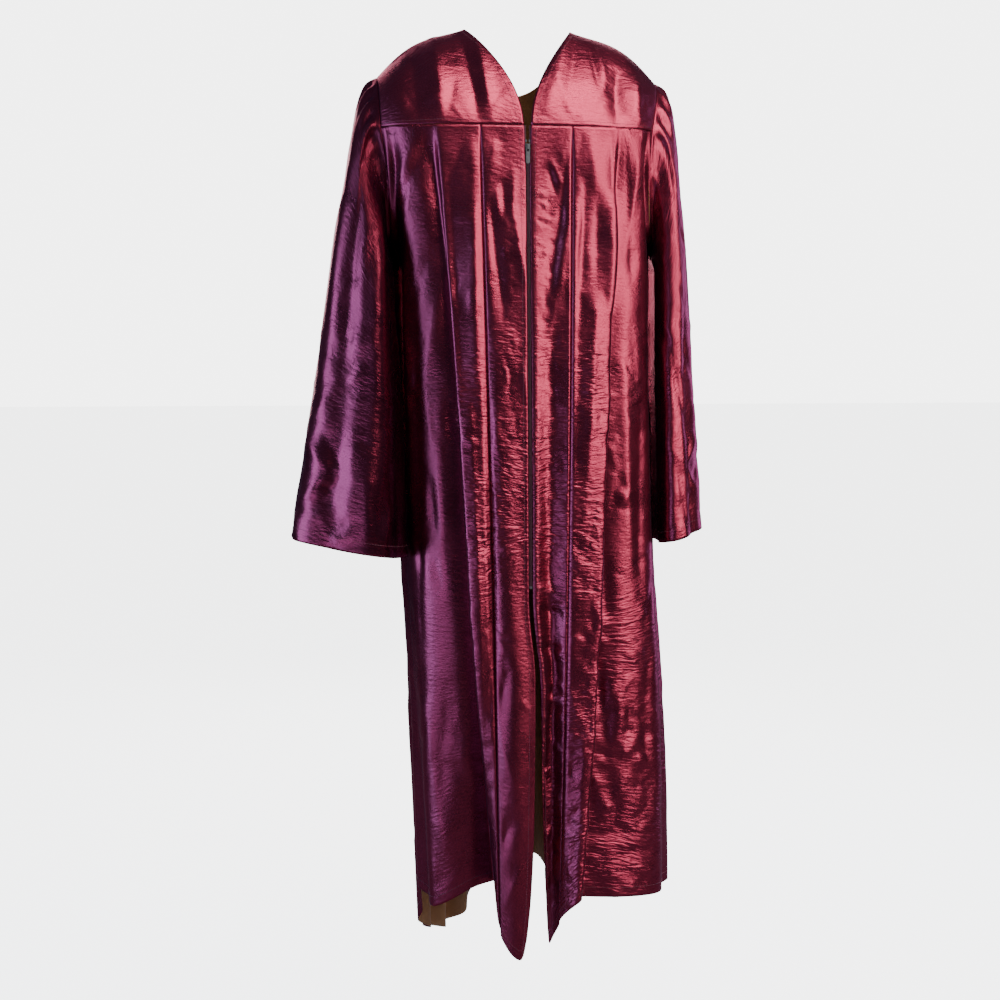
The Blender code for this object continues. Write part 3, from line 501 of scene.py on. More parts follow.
@dataclass(frozen=True)
class BodyOutline:
    """Sizes that the panels and yokes share."""

    front_seam: float = -0.114
    back_seam: float = -0.140
    underarm: float = -0.285
    hip: float = -0.760
    hem: float = -1.250
    loose: float = -0.900
    arm_front: float = 0.074
    arm_back: float = 0.070
    front_spread: float = 1.25
    back_spread: float = 1.70
    room_below: float = 0.060
    room_fades: float = 0.12
    room_starts: float = 0.10
    room_power: int = 4
    pleat_opens: float = 0.060
    pleat_at_yoke: float = 0.12
    seam: float = 0.0004

    def value(self, name: str, height: float) -> float:
        """Value of one column of the sections at a height, by the column's name."""
        curve = curve_through([s.height for s in SECTIONS], [getattr(s, name) for s in SECTIONS])
        return float(curve(np.array(height)))

    def parting(self, side: Side, heights: np.ndarray) -> np.ndarray:
        """How far the free edge of a front stands off the zip's line."""
        curve = curve_through([p.height for p in PARTINGS], [getattr(p, side.value) for p in PARTINGS])
        return curve(heights)

    def levels(self, lines: tuple[Line, ...], heights: np.ndarray,
               top: float) -> tuple[np.ndarray, np.ndarray]:
        """Across and out values of fold lines, heights by lines.

        Args:
            lines: the fold lines.
            heights: heights of the rows.
            top: height of the seam that they start from.

        Returns:
            The across values and the out values.
        """
        knots = [top, self.hip, self.hem]
        across = [curve_through(knots, [n.yoke, n.hip, n.hem])(heights) for n in lines]
        out = [curve_through(knots, [n.out_yoke, n.out_hip, n.out_hem])(heights) for n in lines]
        opened = smooth_step(0, self.pleat_opens, top - heights)
        opened = self.pleat_at_yoke + (1 - self.pleat_at_yoke) * opened
        return np.array(across).T, np.array(out).T * opened[:, None]

    def room(self, heights: np.ndarray, top: float, share: np.ndarray) -> np.ndarray:
        """How far each fold line gives way to the armhole, heights by lines.

        Args:
            heights: heights of the rows.
            top: height of the panel's upper seam.
            share: each line's place, 0 at the centre and 1 at the side.

        Returns:
            0 where a line isn't moved, 1 where it is moved the whole way.
        """
        t = np.clip((heights - self.underarm) / (top - self.underarm), 0, 1)
        edge = np.sqrt(1 - (1 - t) ** 2)[:, None]
        soft = smooth_step(self.underarm - self.room_below, top, heights)[:, None]
        late = edge * smooth_step(0, self.room_starts, t)[:, None]
        within = np.clip((1 - share) / self.room_fades, 0, 1)
        return soft + (edge + (late - edge) * within - soft) * share ** self.room_power

    def rows(self, top: float, upper: int, lower: int) -> np.ndarray:
        """Heights of a panel's rows, closer together round the underarm.

        Args:
            top: height of the panel's upper seam.
            upper: rows above the underarm.
            lower: rows below it.

        Returns:
            The heights, from the top down.
        """
        above = [top + (self.underarm - top) * sin(pi / 2 * i / upper) for i in range(upper)]
        below = [self.underarm + (self.hem - self.underarm) * i / lower for i in range(lower + 1)]
        return np.array(above + below)

    def panel(self, heights: np.ndarray, side: Side, half: Half, points: np.ndarray) -> np.ndarray:
        """Places rows of (along, out, drop) in space.

        Args:
            heights: heights of the rows.
            side: left or right.
            half: front or back.
            points: rows by points by those three values.

        Returns:
            Rows by points by X, Y and Z.
        """
        grid = np.empty(points.shape)
        fall = smooth_step(0, 1, (self.loose - heights) / (self.loose - self.hem))
        for i, height in enumerate(heights):
            quarter = Quarter(self, height, side, half)
            grid[i, :, :2] = quarter.place(points[i, :, 0], points[i, :, 1])
            grid[i, :, 2] = height + fall[i] * (points[i, :, 2] - self.hem)
        return grid


class Finish:
    """Base of the finishes: builds a material once and gives it again when asked."""

    made: dict[str, bpy.types.Material] = {}

    def material(self) -> bpy.types.Material:
        """The finish's material, built at its first use.

        Returns:
            The material.
        """
        name = self.name
        if name not in Finish.made:
            material = bpy.data.materials.new(name)
            material.use_nodes = True
            tree = Tree(material.node_tree)
            self.dress(tree, material.node_tree.nodes["Principled BSDF"])
            Finish.made[name] = material
        return Finish.made[name]


class Tree:
    """Short way to add and join nodes of one tree."""

    def __init__(self, tree: bpy.types.NodeTree) -> None:
        """Keeps the tree."""
        self.tree = tree

    def add(self, kind: str, inputs: dict | None = None, **settings: object) -> bpy.types.Node:
        """Adds a node.

        Args:
            kind: the node's type name.
            inputs: values or sockets by input name or number.
            settings: the node's own properties.

        Returns:
            The node.
        """
        node = self.tree.nodes.new(kind)
        for name, value in settings.items():
            setattr(node, name, value)
        self.fill(node, inputs or {})
        return node

    def fill(self, node: bpy.types.Node, inputs: dict) -> None:
        """Joins values or sockets to a node's inputs, by name or number."""
        for name, value in inputs.items():
            self.join(value, node.inputs[name])

    def tint(self, share: bpy.types.NodeSocket, low: tuple, high: tuple) -> bpy.types.NodeSocket:
        """Colour between two, by a share that changes over the surface."""
        return self.add("ShaderNodeMix", {0: share, 6: low, 7: high}, data_type="RGBA").outputs[2]

    def join(self, value: object, socket: bpy.types.NodeSocket) -> None:
        """Links a socket to an input, or sets the input's value.

        Args:
            value: a socket, or a value.
            socket: the input.
        """
        if isinstance(value, bpy.types.NodeSocket):
            self.tree.links.new(value, socket)
        else:
            socket.default_value = value


def shader_group(name: str, inputs: dict[str, float],
                 output: str) -> tuple[Tree, bpy.types.Node, bpy.types.Node]:
    """Starts a shader group with a place input, number inputs and one number output.

    Args:
        name: name of the group.
        inputs: usual value of each number input by name.
        output: name of the output.

    Returns:
        The group's tree, its input node and its output node.
    """
    group = bpy.data.node_groups.new(name, "ShaderNodeTree")
    group.interface.new_socket("Place", in_out="INPUT", socket_type="NodeSocketVector")
    for key, value in inputs.items():
        socket = group.interface.new_socket(key, in_out="INPUT", socket_type="NodeSocketFloat")
        socket.default_value = value
    group.interface.new_socket(output, in_out="OUTPUT", socket_type="NodeSocketFloat")
    tree = Tree(group)
    return tree, tree.add("NodeGroupInput"), tree.add("NodeGroupOutput")


def crumple_group() -> bpy.types.NodeTree:
    """Shader group: height of small wrinkles, mostly across, uneven over the cloth.

    Returns:
        The group, built at its first use.
    """
    if "crumple" in bpy.data.node_groups:
        return bpy.data.node_groups["crumple"]
    tree, start, end = shader_group("crumple", {"Across": 34.0, "Along": 115.0, "Least": 0.30}, "Height")
    flat = start.outputs["Place"]
    stretch = tree.add("ShaderNodeCombineXYZ",
                       {0: start.outputs["Across"], 1: start.outputs["Along"], 2: 1.0})
    bend = tree.add("ShaderNodeTexNoise", {"Vector": flat, "Scale": WRINKLE_BEND, "Detail": 0.0})
    centred = tree.add("ShaderNodeVectorMath", {0: bend.outputs["Color"], 1: (0.5, 0.5, 0.5)},
                       operation="SUBTRACT")
    swing = tree.add("ShaderNodeVectorMath", {0: centred.outputs[0], "Scale": WRINKLE_SWING},
                     operation="SCALE")
    bent = tree.add("ShaderNodeVectorMath", {0: flat, 1: swing.outputs[0]}, operation="ADD")
    place = tree.add("ShaderNodeVectorMath", {0: bent.outputs[0], 1: stretch.outputs[0]},
                     operation="MULTIPLY")
    total = None
    for scale, weight in WRINKLE_LAYERS:
        noise = tree.add("ShaderNodeTexNoise", {"Vector": place.outputs[0], "Scale": scale, "Detail": 1.0})
        middle = tree.add("ShaderNodeMath", {0: noise.outputs[0], 1: 0.5}, operation="SUBTRACT")
        sharp = tree.add("ShaderNodeMath", {0: middle.outputs[0]}, operation="ABSOLUTE")
        part = tree.add("ShaderNodeMath", {0: sharp.outputs[0], 1: -2.0 * weight}, operation="MULTIPLY")
        if total is None:
            total = part.outputs[0]
        else:
            total = tree.add("ShaderNodeMath", {0: total, 1: part.outputs[0]}, operation="ADD").outputs[0]
    patches = tree.add("ShaderNodeTexNoise", {"Vector": flat, "Scale": PATCH_SCALE, "Detail": 1.0})
    mask = tree.add("ShaderNodeMapRange", {"Value": patches.outputs[0], "From Min": PATCH_EDGES[0],
                                           "From Max": PATCH_EDGES[1], "To Min": start.outputs["Least"],
                                           "To Max": 1.0})
    result = tree.add("ShaderNodeMath", {0: total, 1: mask.outputs[0]}, operation="MULTIPLY")
    tree.join(result.outputs[0], end.inputs["Height"])
    return tree.tree


def weave_group() -> bpy.types.NodeTree:
    """Shader group: height of a fine pebbled grain with threads across.

    Returns:
        The group, built at its first use.
    """
    if "weave" in bpy.data.node_groups:
        return bpy.data.node_groups["weave"]
    tree, start, end = shader_group("weave", {"Threads": 900.0, "Slub": 1.8}, "Height")
    stretch = tree.add("ShaderNodeVectorMath", {0: start.outputs["Place"], 1: THREAD_STRETCH},
                       operation="MULTIPLY")
    grain = tree.add("ShaderNodeTexNoise", {"Vector": stretch.outputs[0], "Scale": start.outputs["Threads"],
                                            "Detail": 2.0, "Roughness": 0.6})
    coarse = tree.add("ShaderNodeTexNoise",
                      {"Vector": stretch.outputs[0], "Scale": SLUB_SCALE, "Detail": 1.0})
    slub = tree.add("ShaderNodeMath", {0: coarse.outputs[0], 1: start.outputs["Slub"]},
                    operation="MULTIPLY")
    result = tree.add("ShaderNodeMath", {0: grain.outputs[0], 1: slub.outputs[0]}, operation="ADD")
    tree.join(result.outputs[0], end.inputs["Height"])
    return tree.tree


@dataclass(frozen=True)
class Satin(Finish):
    """Glossy burgundy polyester satin, its right side."""

    name: str = "satin"
    colour: Colour = (0.52, 0.056, 0.104, 1.0)
    deep: Colour = (0.35, 0.032, 0.066, 1.0)
    # Painted bounce light: a duller colour the satin gives only to bounced rays, which tones down the red light
    # between its folds
    painted_bounce_colour: Colour = (0.20, 0.085, 0.125, 1.0)
    roughness: float = 0.28
    metallic: float = 0.95
    sheen: float = 0.08
    crumple: float = 0.0020
    grain: float = 0.00024
    mottle: float = 14.0
    speckle: float = 420.0
    speckle_edges: tuple[float, float] = (0.35, 0.65)
    rough_edges: tuple[float, float] = (0.3, 0.7)
    smoother: float = 0.04
    rougher: float = 0.06
    sheen_roughness: float = 0.35
    sheen_tint: Colour = (0.70, 0.42, 0.70, 1.0)
    specular_tint: Colour = (1.0, 0.55, 0.65, 1.0)

    def dress(self, tree: Tree, shader: bpy.types.Node) -> None:
        """Joins colour, gloss and relief to the shader, with a painted duller colour for bounced light.

        Args:
            tree: the material's tree.
            shader: its Principled BSDF.
        """
        place = tree.add("ShaderNodeUVMap", uv_map="cloth").outputs[0]
        mottle = tree.add("ShaderNodeTexNoise", {"Vector": place, "Scale": self.mottle, "Detail": 3.0})
        shade = tree.add("ShaderNodeMix", {0: mottle.outputs[0], 6: self.deep, 7: self.colour},
                         data_type="RGBA")
        dots = tree.add("ShaderNodeTexNoise", {"Vector": place, "Scale": self.speckle, "Detail": 2.0})
        share = tree.add("ShaderNodeMapRange", {"Value": dots.outputs[0], "From Min": self.speckle_edges[0],
                                                "From Max": self.speckle_edges[1]})
        tint = tree.add("ShaderNodeMix", {0: share.outputs[0], 6: shade.outputs[2], 7: self.colour},
                        data_type="RGBA")
        # Painted bounce light: the camera sees the satin's own tint, and bounced rays get the painted duller
        # colour
        path = tree.add("ShaderNodeLightPath")
        seen = tree.add("ShaderNodeMix",
                        {0: path.outputs["Is Camera Ray"], 6: self.painted_bounce_colour, 7: tint.outputs[2]},
                        data_type="RGBA")
        rough = tree.add("ShaderNodeMapRange", {"Value": mottle.outputs[0],
                                                "From Min": self.rough_edges[0],
                                                "From Max": self.rough_edges[1],
                                                "To Min": self.roughness - self.smoother,
                                                "To Max": self.roughness + self.rougher})
        tree.fill(shader, {"Base Color": seen.outputs[2], "Roughness": rough.outputs[0],
                           "Metallic": self.metallic, "Sheen Weight": self.sheen,
                           "Sheen Roughness": self.sheen_roughness, "Sheen Tint": self.sheen_tint,
                           "Specular Tint": self.specular_tint})
        much = tree.add("ShaderNodeAttribute", attribute_name="crumple").outputs["Fac"]
        small = tree.add("ShaderNodeGroup", {}, node_tree=crumple_group())
        tree.join(place, small.inputs["Place"])
        scaled = tree.add("ShaderNodeMath", {0: small.outputs["Height"], 1: much}, operation="MULTIPLY")
        bump = tree.add("ShaderNodeBump",
                        {"Height": scaled.outputs[0], "Distance": self.crumple, "Strength": 1.0})
        grain = tree.add("ShaderNodeGroup", {}, node_tree=weave_group())
        tree.join(place, grain.inputs["Place"])
        fine = tree.add("ShaderNodeBump", {"Height": grain.outputs["Height"], "Distance": self.grain,
                                           "Strength": 1.0, "Normal": bump.outputs[0]})
        tree.join(fine.outputs[0], shader.inputs["Normal"])


@dataclass(frozen=True)
class WrongSide(Finish):
    """The satin's dull inside."""

    name: str = "satin_wrong_side"
    colour: Colour = (0.46, 0.21, 0.085, 1.0)
    roughness: float = 0.62
    sheen: float = 0.2
    grain: float = 0.0002

    def dress(self, tree: Tree, shader: bpy.types.Node) -> None:
        """Joins colour and grain to the shader.

        Args:
            tree: the material's tree.
            shader: its Principled BSDF.
        """
        place = tree.add("ShaderNodeUVMap", uv_map="cloth").outputs[0]
        tree.fill(shader, {"Base Color": self.colour, "Roughness": self.roughness,
                           "Sheen Weight": self.sheen})
        grain = tree.add("ShaderNodeGroup", {}, node_tree=weave_group())
        tree.join(place, grain.inputs["Place"])
        fine = tree.add("ShaderNodeBump",
                        {"Height": grain.outputs["Height"], "Distance": self.grain, "Strength": 1.0})
        tree.join(fine.outputs[0], shader.inputs["Normal"])


@dataclass
class ClothPiece:
    """A cloth piece: its grid of middle points, its creases and its finishes.

    Coordinates for creases are across and along, both in metres unless a piece says otherwise.
    """

    name: str
    grid: np.ndarray
    across: np.ndarray
    along: np.ndarray
    flip: int
    cut: tuple[float, float, float]
    wrap: bool = False
    creases: list[Crease] = field(default_factory=list)
    crumple: np.ndarray | None = None
    edge_ease: float = 0.006
    first_ease: float = 0.006
    even_crumple: float = 0.30
    thick: float = 0.0010
    tucked: int = 0
    calm: np.ndarray | float = 1.0
    face: np.ndarray | None = None

    def relief(self) -> np.ndarray:
        """Height of the creases at each point, less and less towards the seams.

        Returns:
            Rows by columns, in metres.
        """
        total = crease_relief(self.across, self.along, self.creases)
        steps = np.linalg.norm(np.diff(self.grid, axis=0), axis=2)
        down = np.concatenate([np.zeros((1, steps.shape[1])), np.cumsum(steps, axis=0)])
        ease = smooth_step(0, self.edge_ease, down - down[self.tucked])
        if not self.wrap:
            steps = np.linalg.norm(np.diff(self.grid, axis=1), axis=2)
            over = np.concatenate([np.zeros((steps.shape[0], 1)), np.cumsum(steps, axis=1)], axis=1)
            ease = ease * smooth_step(0, self.first_ease, over)
            ease = ease * smooth_step(0, self.edge_ease, over[:, -1:] - over)
        return total * ease * self.calm

    def build(self) -> bpy.types.Object:
        """Makes the thin closed shell, with its UV map and finishes.

        Returns:
            The finished piece.
        """
        normals = grid_normals(self.grid, self.wrap, self.flip)
        middle = self.grid + normals * self.relief()[..., None]
        normals = grid_normals(middle, self.wrap, self.flip)
        outer = middle + normals * self.thick / 2
        self.face = outer + normals * Sewing.thick * Sewing.proud
        inner = middle - normals * self.thick / 2
        rows, columns = middle.shape[:2]
        half = rows * columns
        spans = columns if self.wrap else columns - 1
        row = np.arange(rows - 1)[:, None]
        column = np.arange(spans)[None, :]
        a = row * columns + column
        b = row * columns + (column + 1) % columns
        quads = np.stack([a, b, b + columns, a + columns], axis=-1).reshape(-1, 4)
        faces = [quads, half + quads[:, ::-1]]
        ends = np.arange(spans)
        ahead = (ends + 1) % columns
        low = (rows - 1) * columns
        faces.append(np.stack([half + ends, half + ahead, ahead, ends], axis=-1))
        faces.append(np.stack([low + ends, low + ahead, half + low + ahead, half + low + ends], axis=-1))
        if not self.wrap:
            r = np.arange(rows - 1) * columns
            n = r + columns
            last = columns - 1
            faces.append(np.stack([r, n, half + n, half + r], axis=-1))
            faces.append(np.stack([half + r + last, half + n + last, n + last, r + last], axis=-1))
        faces = np.concatenate(faces)
        if self.flip > 0:
            faces = faces[:, ::-1]
        vertices = np.concatenate([outer.reshape(-1, 3), inner.reshape(-1, 3)])
        mesh = bpy.data.meshes.new(self.name)
        mesh.from_pydata(vertices.tolist(), [], faces.tolist())
        mesh.materials.append(Satin().material())
        mesh.materials.append(WrongSide().material())
        inside = np.zeros(len(faces), dtype=np.int32)
        inside[len(quads):2 * len(quads)] = 1
        mesh.polygons.foreach_set("material_index", inside)
        self.add_coordinates(mesh, faces)
        mesh.shade_smooth()
        piece = bpy.data.objects.new(self.name, mesh)
        bpy.context.scene.collection.objects.link(piece)
        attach(piece, "gown")
        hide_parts(self.name.replace("cloth_", ""))
        return piece

    def add_coordinates(self, mesh: bpy.types.Mesh, faces: np.ndarray) -> None:
        """Adds the UV map in metres and the share of small crumples at each point.

        Args:
            mesh: the piece's mesh.
            faces: its quads, by vertex number.
        """
        rows, columns = self.grid.shape[:2]
        steps = np.linalg.norm(np.diff(self.grid, axis=1), axis=2)
        over = np.concatenate([np.zeros((rows, 1)), np.cumsum(steps, axis=1)], axis=1)
        middle = np.median(over, axis=0)
        steps = np.linalg.norm(np.diff(self.grid, axis=0), axis=2)
        down = np.concatenate([[0], np.cumsum(steps.mean(axis=1))])
        u = np.tile(middle, (rows, 1)).reshape(-1)
        v = np.tile(-down[:, None], (1, columns)).reshape(-1)
        uv = np.stack([np.tile(u, 2), np.tile(v, 2)], axis=-1)[faces.reshape(-1)]
        if self.wrap:
            gap = np.linalg.norm(self.grid[:, 0] - self.grid[:, -1], axis=1)
            whole = middle[-1] + float(np.median(gap))
            quads = uv.reshape(-1, 4, 2)
            far = quads[:, :, 0].max(axis=1) - quads[:, :, 0].min(axis=1) > whole / 2
            ends = quads[far, :, 0]
            quads[far, :, 0] = np.where(ends < whole / 2, ends + whole, ends)
            uv = quads.reshape(-1, 2)
        layer = mesh.uv_layers.new(name="cloth")
        layer.data.foreach_set("uv", uv.astype(np.float32).reshape(-1))
        much = np.full((rows, columns), self.even_crumple) if self.crumple is None else self.crumple
        attribute = mesh.attributes.new("crumple", "FLOAT", "POINT")
        attribute.data.foreach_set("value", np.tile(much.reshape(-1), 2).astype(np.float32))


@dataclass
class FrontPanel:
    """A front panel, pleated into its yoke, with its free edge along the zip."""

    side: Side
    body: BodyOutline = field(default_factory=BodyOutline)
    steps: tuple[int, ...] = (4, 12, 12, 3, 3, 11, 11, 4, 5, 10, 14, 14, 9, 7)
    upper: int = 70
    lower: int = 270
    zip_ease: float = 0.002
    # The stitched flute's line, the share of creases left at it, and the columns over which they return
    flute: int = 4
    fold_calm: float = 0.15
    calm_columns: tuple[int, int] = (3, 9)
    # Depths below the shoulders and distances from the zip over which small wrinkles change
    chest: tuple[float, float] = (0.34, 0.50)
    knees: tuple[float, float] = (0.72, 0.86)
    flank: tuple[float, float] = (0.090, 0.140)
    # Shares of small wrinkles: everywhere above, more on the strips, and everywhere below
    chest_crumple: float = 0.16
    strip_crumple: float = 0.84
    knee_crumple: float = 0.12

    def rows(self) -> tuple[np.ndarray, np.ndarray]:
        """Heights of the rows, and along, out and drop at each of their points.

        Returns:
            The heights, and rows by points by the three values.
        """
        body = self.body
        heights = body.rows(body.front_seam, self.upper, self.lower)
        strip, out = body.levels(STRIPS[self.side], heights, body.front_seam)
        flute = strip[:, self.flute:self.flute + 1].copy()
        parted = body.parting(self.side, heights)[:, None]
        strip = strip + parted * np.maximum(1 - strip / flute, 0)
        share, flank_out = body.levels(FLANKS[self.side], heights, body.front_seam)
        end = np.array([Quarter(body, h, self.side, Half.FRONT).length for h in heights])[:, None]
        room = body.arm_front * body.room(heights, body.front_seam, share) * share ** body.front_spread
        valley = strip[:, -1:]
        flank = valley + (end - valley) * share - room
        drops = np.array([n.drop for n in STRIPS[self.side] + FLANKS[self.side]])
        points = np.stack([np.concatenate([strip, flank], axis=1),
                           np.concatenate([out, flank_out], axis=1),
                           np.tile(drops, (len(heights), 1))], axis=-1)
        return heights, soften(points, self.steps)

    def piece(self) -> ClothPiece:
        """The panel's cloth piece.

        Returns:
            The piece, not yet built.
        """
        heights, points = self.rows()
        grid = self.body.panel(heights, self.side, Half.FRONT, points)
        flip = 1 if self.side is Side.LEFT else -1
        creases = all_creases(FRONT_CREASES[self.side], FRONT_CRUMPLES[self.side])
        return ClothPiece("cloth_front_" + self.side.value, grid, points[..., 0], grid[..., 2], flip,
                          FRONT_CUT, creases=creases, first_ease=self.zip_ease,
                          crumple=self.crumple_share(points[..., 0], grid[..., 2]),
                          calm=self.calm(points.shape[1]))

    def calm(self, columns: int) -> np.ndarray:
        """Share of the creases left at each column: few at the stitched flute's tight fold.

        Args:
            columns: how many columns the panel has.

        Returns:
            A share from 0 to 1 for each column.
        """
        fold = sum(self.steps[:self.flute])
        away = smooth_step(*self.calm_columns, np.abs(np.arange(columns) - fold))
        return self.fold_calm + (1 - self.fold_calm) * away

    def crumple_share(self, across: np.ndarray, along: np.ndarray) -> np.ndarray:
        """Share of small wrinkles: most on the strips below the chest and low on the right.

        Args:
            across: distance of each point from the zip.
            along: its height.

        Returns:
            A share for each point.
        """
        below = smooth_step(*self.chest, -along)
        flank = smooth_step(*self.flank, across)
        low = smooth_step(*self.knees, -along)
        upper = self.chest_crumple + self.strip_crumple * below * (1 - flank)
        return upper * (1 - low) + (self.knee_crumple + LOW_CRUMPLE[self.side]) * low


@dataclass
class BackPanel:
    """The back panel, one piece, fluted into the back yoke."""

    body: BodyOutline = field(default_factory=BodyOutline)
    steps: tuple[int, ...] = (7,) * 10
    upper: int = 50
    lower: int = 200

    def half(self, side: Side) -> tuple[np.ndarray, np.ndarray]:
        """Grid and along distances of one half, from the centre to the side.

        Args:
            side: which half.

        Returns:
            Rows by points by X, Y and Z, and the distances.
        """
        body = self.body
        heights = body.rows(body.back_seam, self.upper, self.lower)
        share, out = body.levels(BACKS[side], heights, body.back_seam)
        end = np.array([Quarter(body, h, side, Half.BACK).length for h in heights])[:, None]
        room = body.arm_back * body.room(heights, body.back_seam, share) * share ** body.back_spread
        drops = np.array([n.drop for n in BACKS[side]])
        points = np.stack([end * share - room, out, np.tile(drops, (len(heights), 1))], axis=-1)
        points = soften(points, self.steps)
        return body.panel(heights, side, Half.BACK, points), points[..., 0]

    def piece(self) -> ClothPiece:
        """The panel's cloth piece, its across distance less than 0 on the left.

        Returns:
            The piece, not yet built.
        """
        left, left_along = self.half(Side.LEFT)
        right, right_along = self.half(Side.RIGHT)
        grid = np.concatenate([left[:, ::-1], right[:, 1:]], axis=1)
        across = np.concatenate([-left_along[:, ::-1], right_along[:, 1:]], axis=1)
        creases = all_creases(BACK_CREASES, BACK_CRUMPLES)
        return ClothPiece("cloth_back_panel", grid, across, grid[..., 2], 1, BACK_CUT, creases=creases)


@dataclass
class Yokes:
    """The front yokes and the back yoke, over the shoulders."""

    body: BodyOutline = field(default_factory=BodyOutline)
    neck_point: tuple[float, float] = (0.078, 0.038)
    shoulder_point: tuple[float, float] = (0.206, -0.034)
    bow: float = 0.017
    rounding: float = 0.60
    neck_bow: float = 1.00
    neck_rise: float = 0.008
    back_cut: float = 0.600
    columns: int = 64
    neck_columns: int = 56
    rows: int = 56
    bow_power: float = 1.3
    cut_power: float = 0.8

    def shoulder(self, share: float, side: Side) -> np.ndarray:
        """Point on the shoulder seam, from the neck point at 0 to the shoulder point at 1.

        Args:
            share: where on the seam, from 0 to 1.
            side: which shoulder.

        Returns:
            The point.
        """
        across = self.neck_point[0] + (self.shoulder_point[0] - self.neck_point[0]) * share
        height = self.neck_point[1] + (self.shoulder_point[1] - self.neck_point[1]) * share
        return np.array([side.sign * across, 0.0, height + self.bow * sin(pi * share ** self.bow_power)])

    def column(self, top: np.ndarray, bottom: np.ndarray, curve: float, start: float) -> np.ndarray:
        """Points from a yoke's upper edge to its lower seam, rounding over the shoulder.

        Args:
            top: the point on the shoulder seam or the neck.
            bottom: the point on the lower seam.
            curve: how much the column bows sideways.
            start: share of the column that the neck cuts away.

        Returns:
            The column's points, from the top down.
        """
        v = start + (1 - start) * np.arange(self.rows + 1) / self.rows
        reach = (1 - self.rounding) * v + self.rounding * np.sin(pi / 2 * v)
        drop = (1 - self.rounding) * v + self.rounding * (1 - np.cos(pi / 2 * v))
        sideways = drop + curve * (np.sin(pi / 2 * drop) - drop)
        return top + (bottom - top) * np.stack([sideways, reach, drop], axis=-1)

    def front(self, side: Side, spots: np.ndarray) -> ClothPiece:
        """A front yoke over a front panel's top row.

        Args:
            side: which yoke.
            spots: distances along the outline of the panel's points at the seam.

        Returns:
            The piece, not yet built.
        """
        body = self.body
        quarter = Quarter(body, body.front_seam, side, Half.FRONT)
        columns = []
        for i in range(self.columns + 1):
            share = i / self.columns
            top = self.shoulder(share, side)
            top[1] = -body.seam / 2
            spot = np.array(spots[0] + (spots[-1] - spots[0]) * share)
            bottom = np.array([*quarter.place(spot, np.array(0.0)), body.front_seam + body.seam])
            columns.append(self.column(top, bottom, self.neck_bow * (1 - share), 0.0))
        grid = np.array(columns).transpose(1, 0, 2)
        creases = all_creases(YOKE_CREASES[side], YOKE_CRUMPLES[side])
        return ClothPiece("cloth_yoke_front_" + side.value, grid, np.abs(grid[..., 0]), grid[..., 2],
                          1 if side is Side.LEFT else -1, YOKE_CUT, creases=creases)

    def back(self, ends: dict[Side, float]) -> ClothPiece:
        """The back yoke.

        Args:
            ends: distance along the outline of the back panel's last point at the seam, by side.

        Returns:
            The piece, not yet built.
        """
        body = self.body
        tops = [self.shoulder(share, Side.LEFT) for share in np.linspace(1, 0, self.columns + 1)]
        cuts = [0.0] * len(tops)
        for i in range(1, self.neck_columns):
            angle = pi * i / self.neck_columns
            tops.append(np.array([-self.neck_point[0] * cos(angle), 0,
                                  self.neck_point[1] + self.neck_rise * sin(angle)]))
            cuts.append(self.back_cut * sin(angle) ** self.cut_power)
        tops += [self.shoulder(share, Side.RIGHT) for share in np.linspace(0, 1, self.columns + 1)]
        cuts += [0.0] * (self.columns + 1)
        columns = []
        for top, cut in zip(tops, cuts):
            side = Side.LEFT if top[0] < 0 else Side.RIGHT
            top[1] = body.seam / 2
            spot = np.array(ends[side] * abs(top[0]) / self.shoulder_point[0])
            plan = Quarter(body, body.back_seam, side, Half.BACK).place(spot, np.array(0.0))
            columns.append(self.column(top, np.array([*plan, body.back_seam + body.seam]), 0, cut))
        grid = np.array(columns).transpose(1, 0, 2)
        creases = all_creases(BACK_YOKE_CREASES, BACK_YOKE_CRUMPLES)
        return ClothPiece("cloth_yoke_back", grid, grid[..., 0], grid[..., 2], 1, BACK_YOKE_CUT,
                          creases=creases)


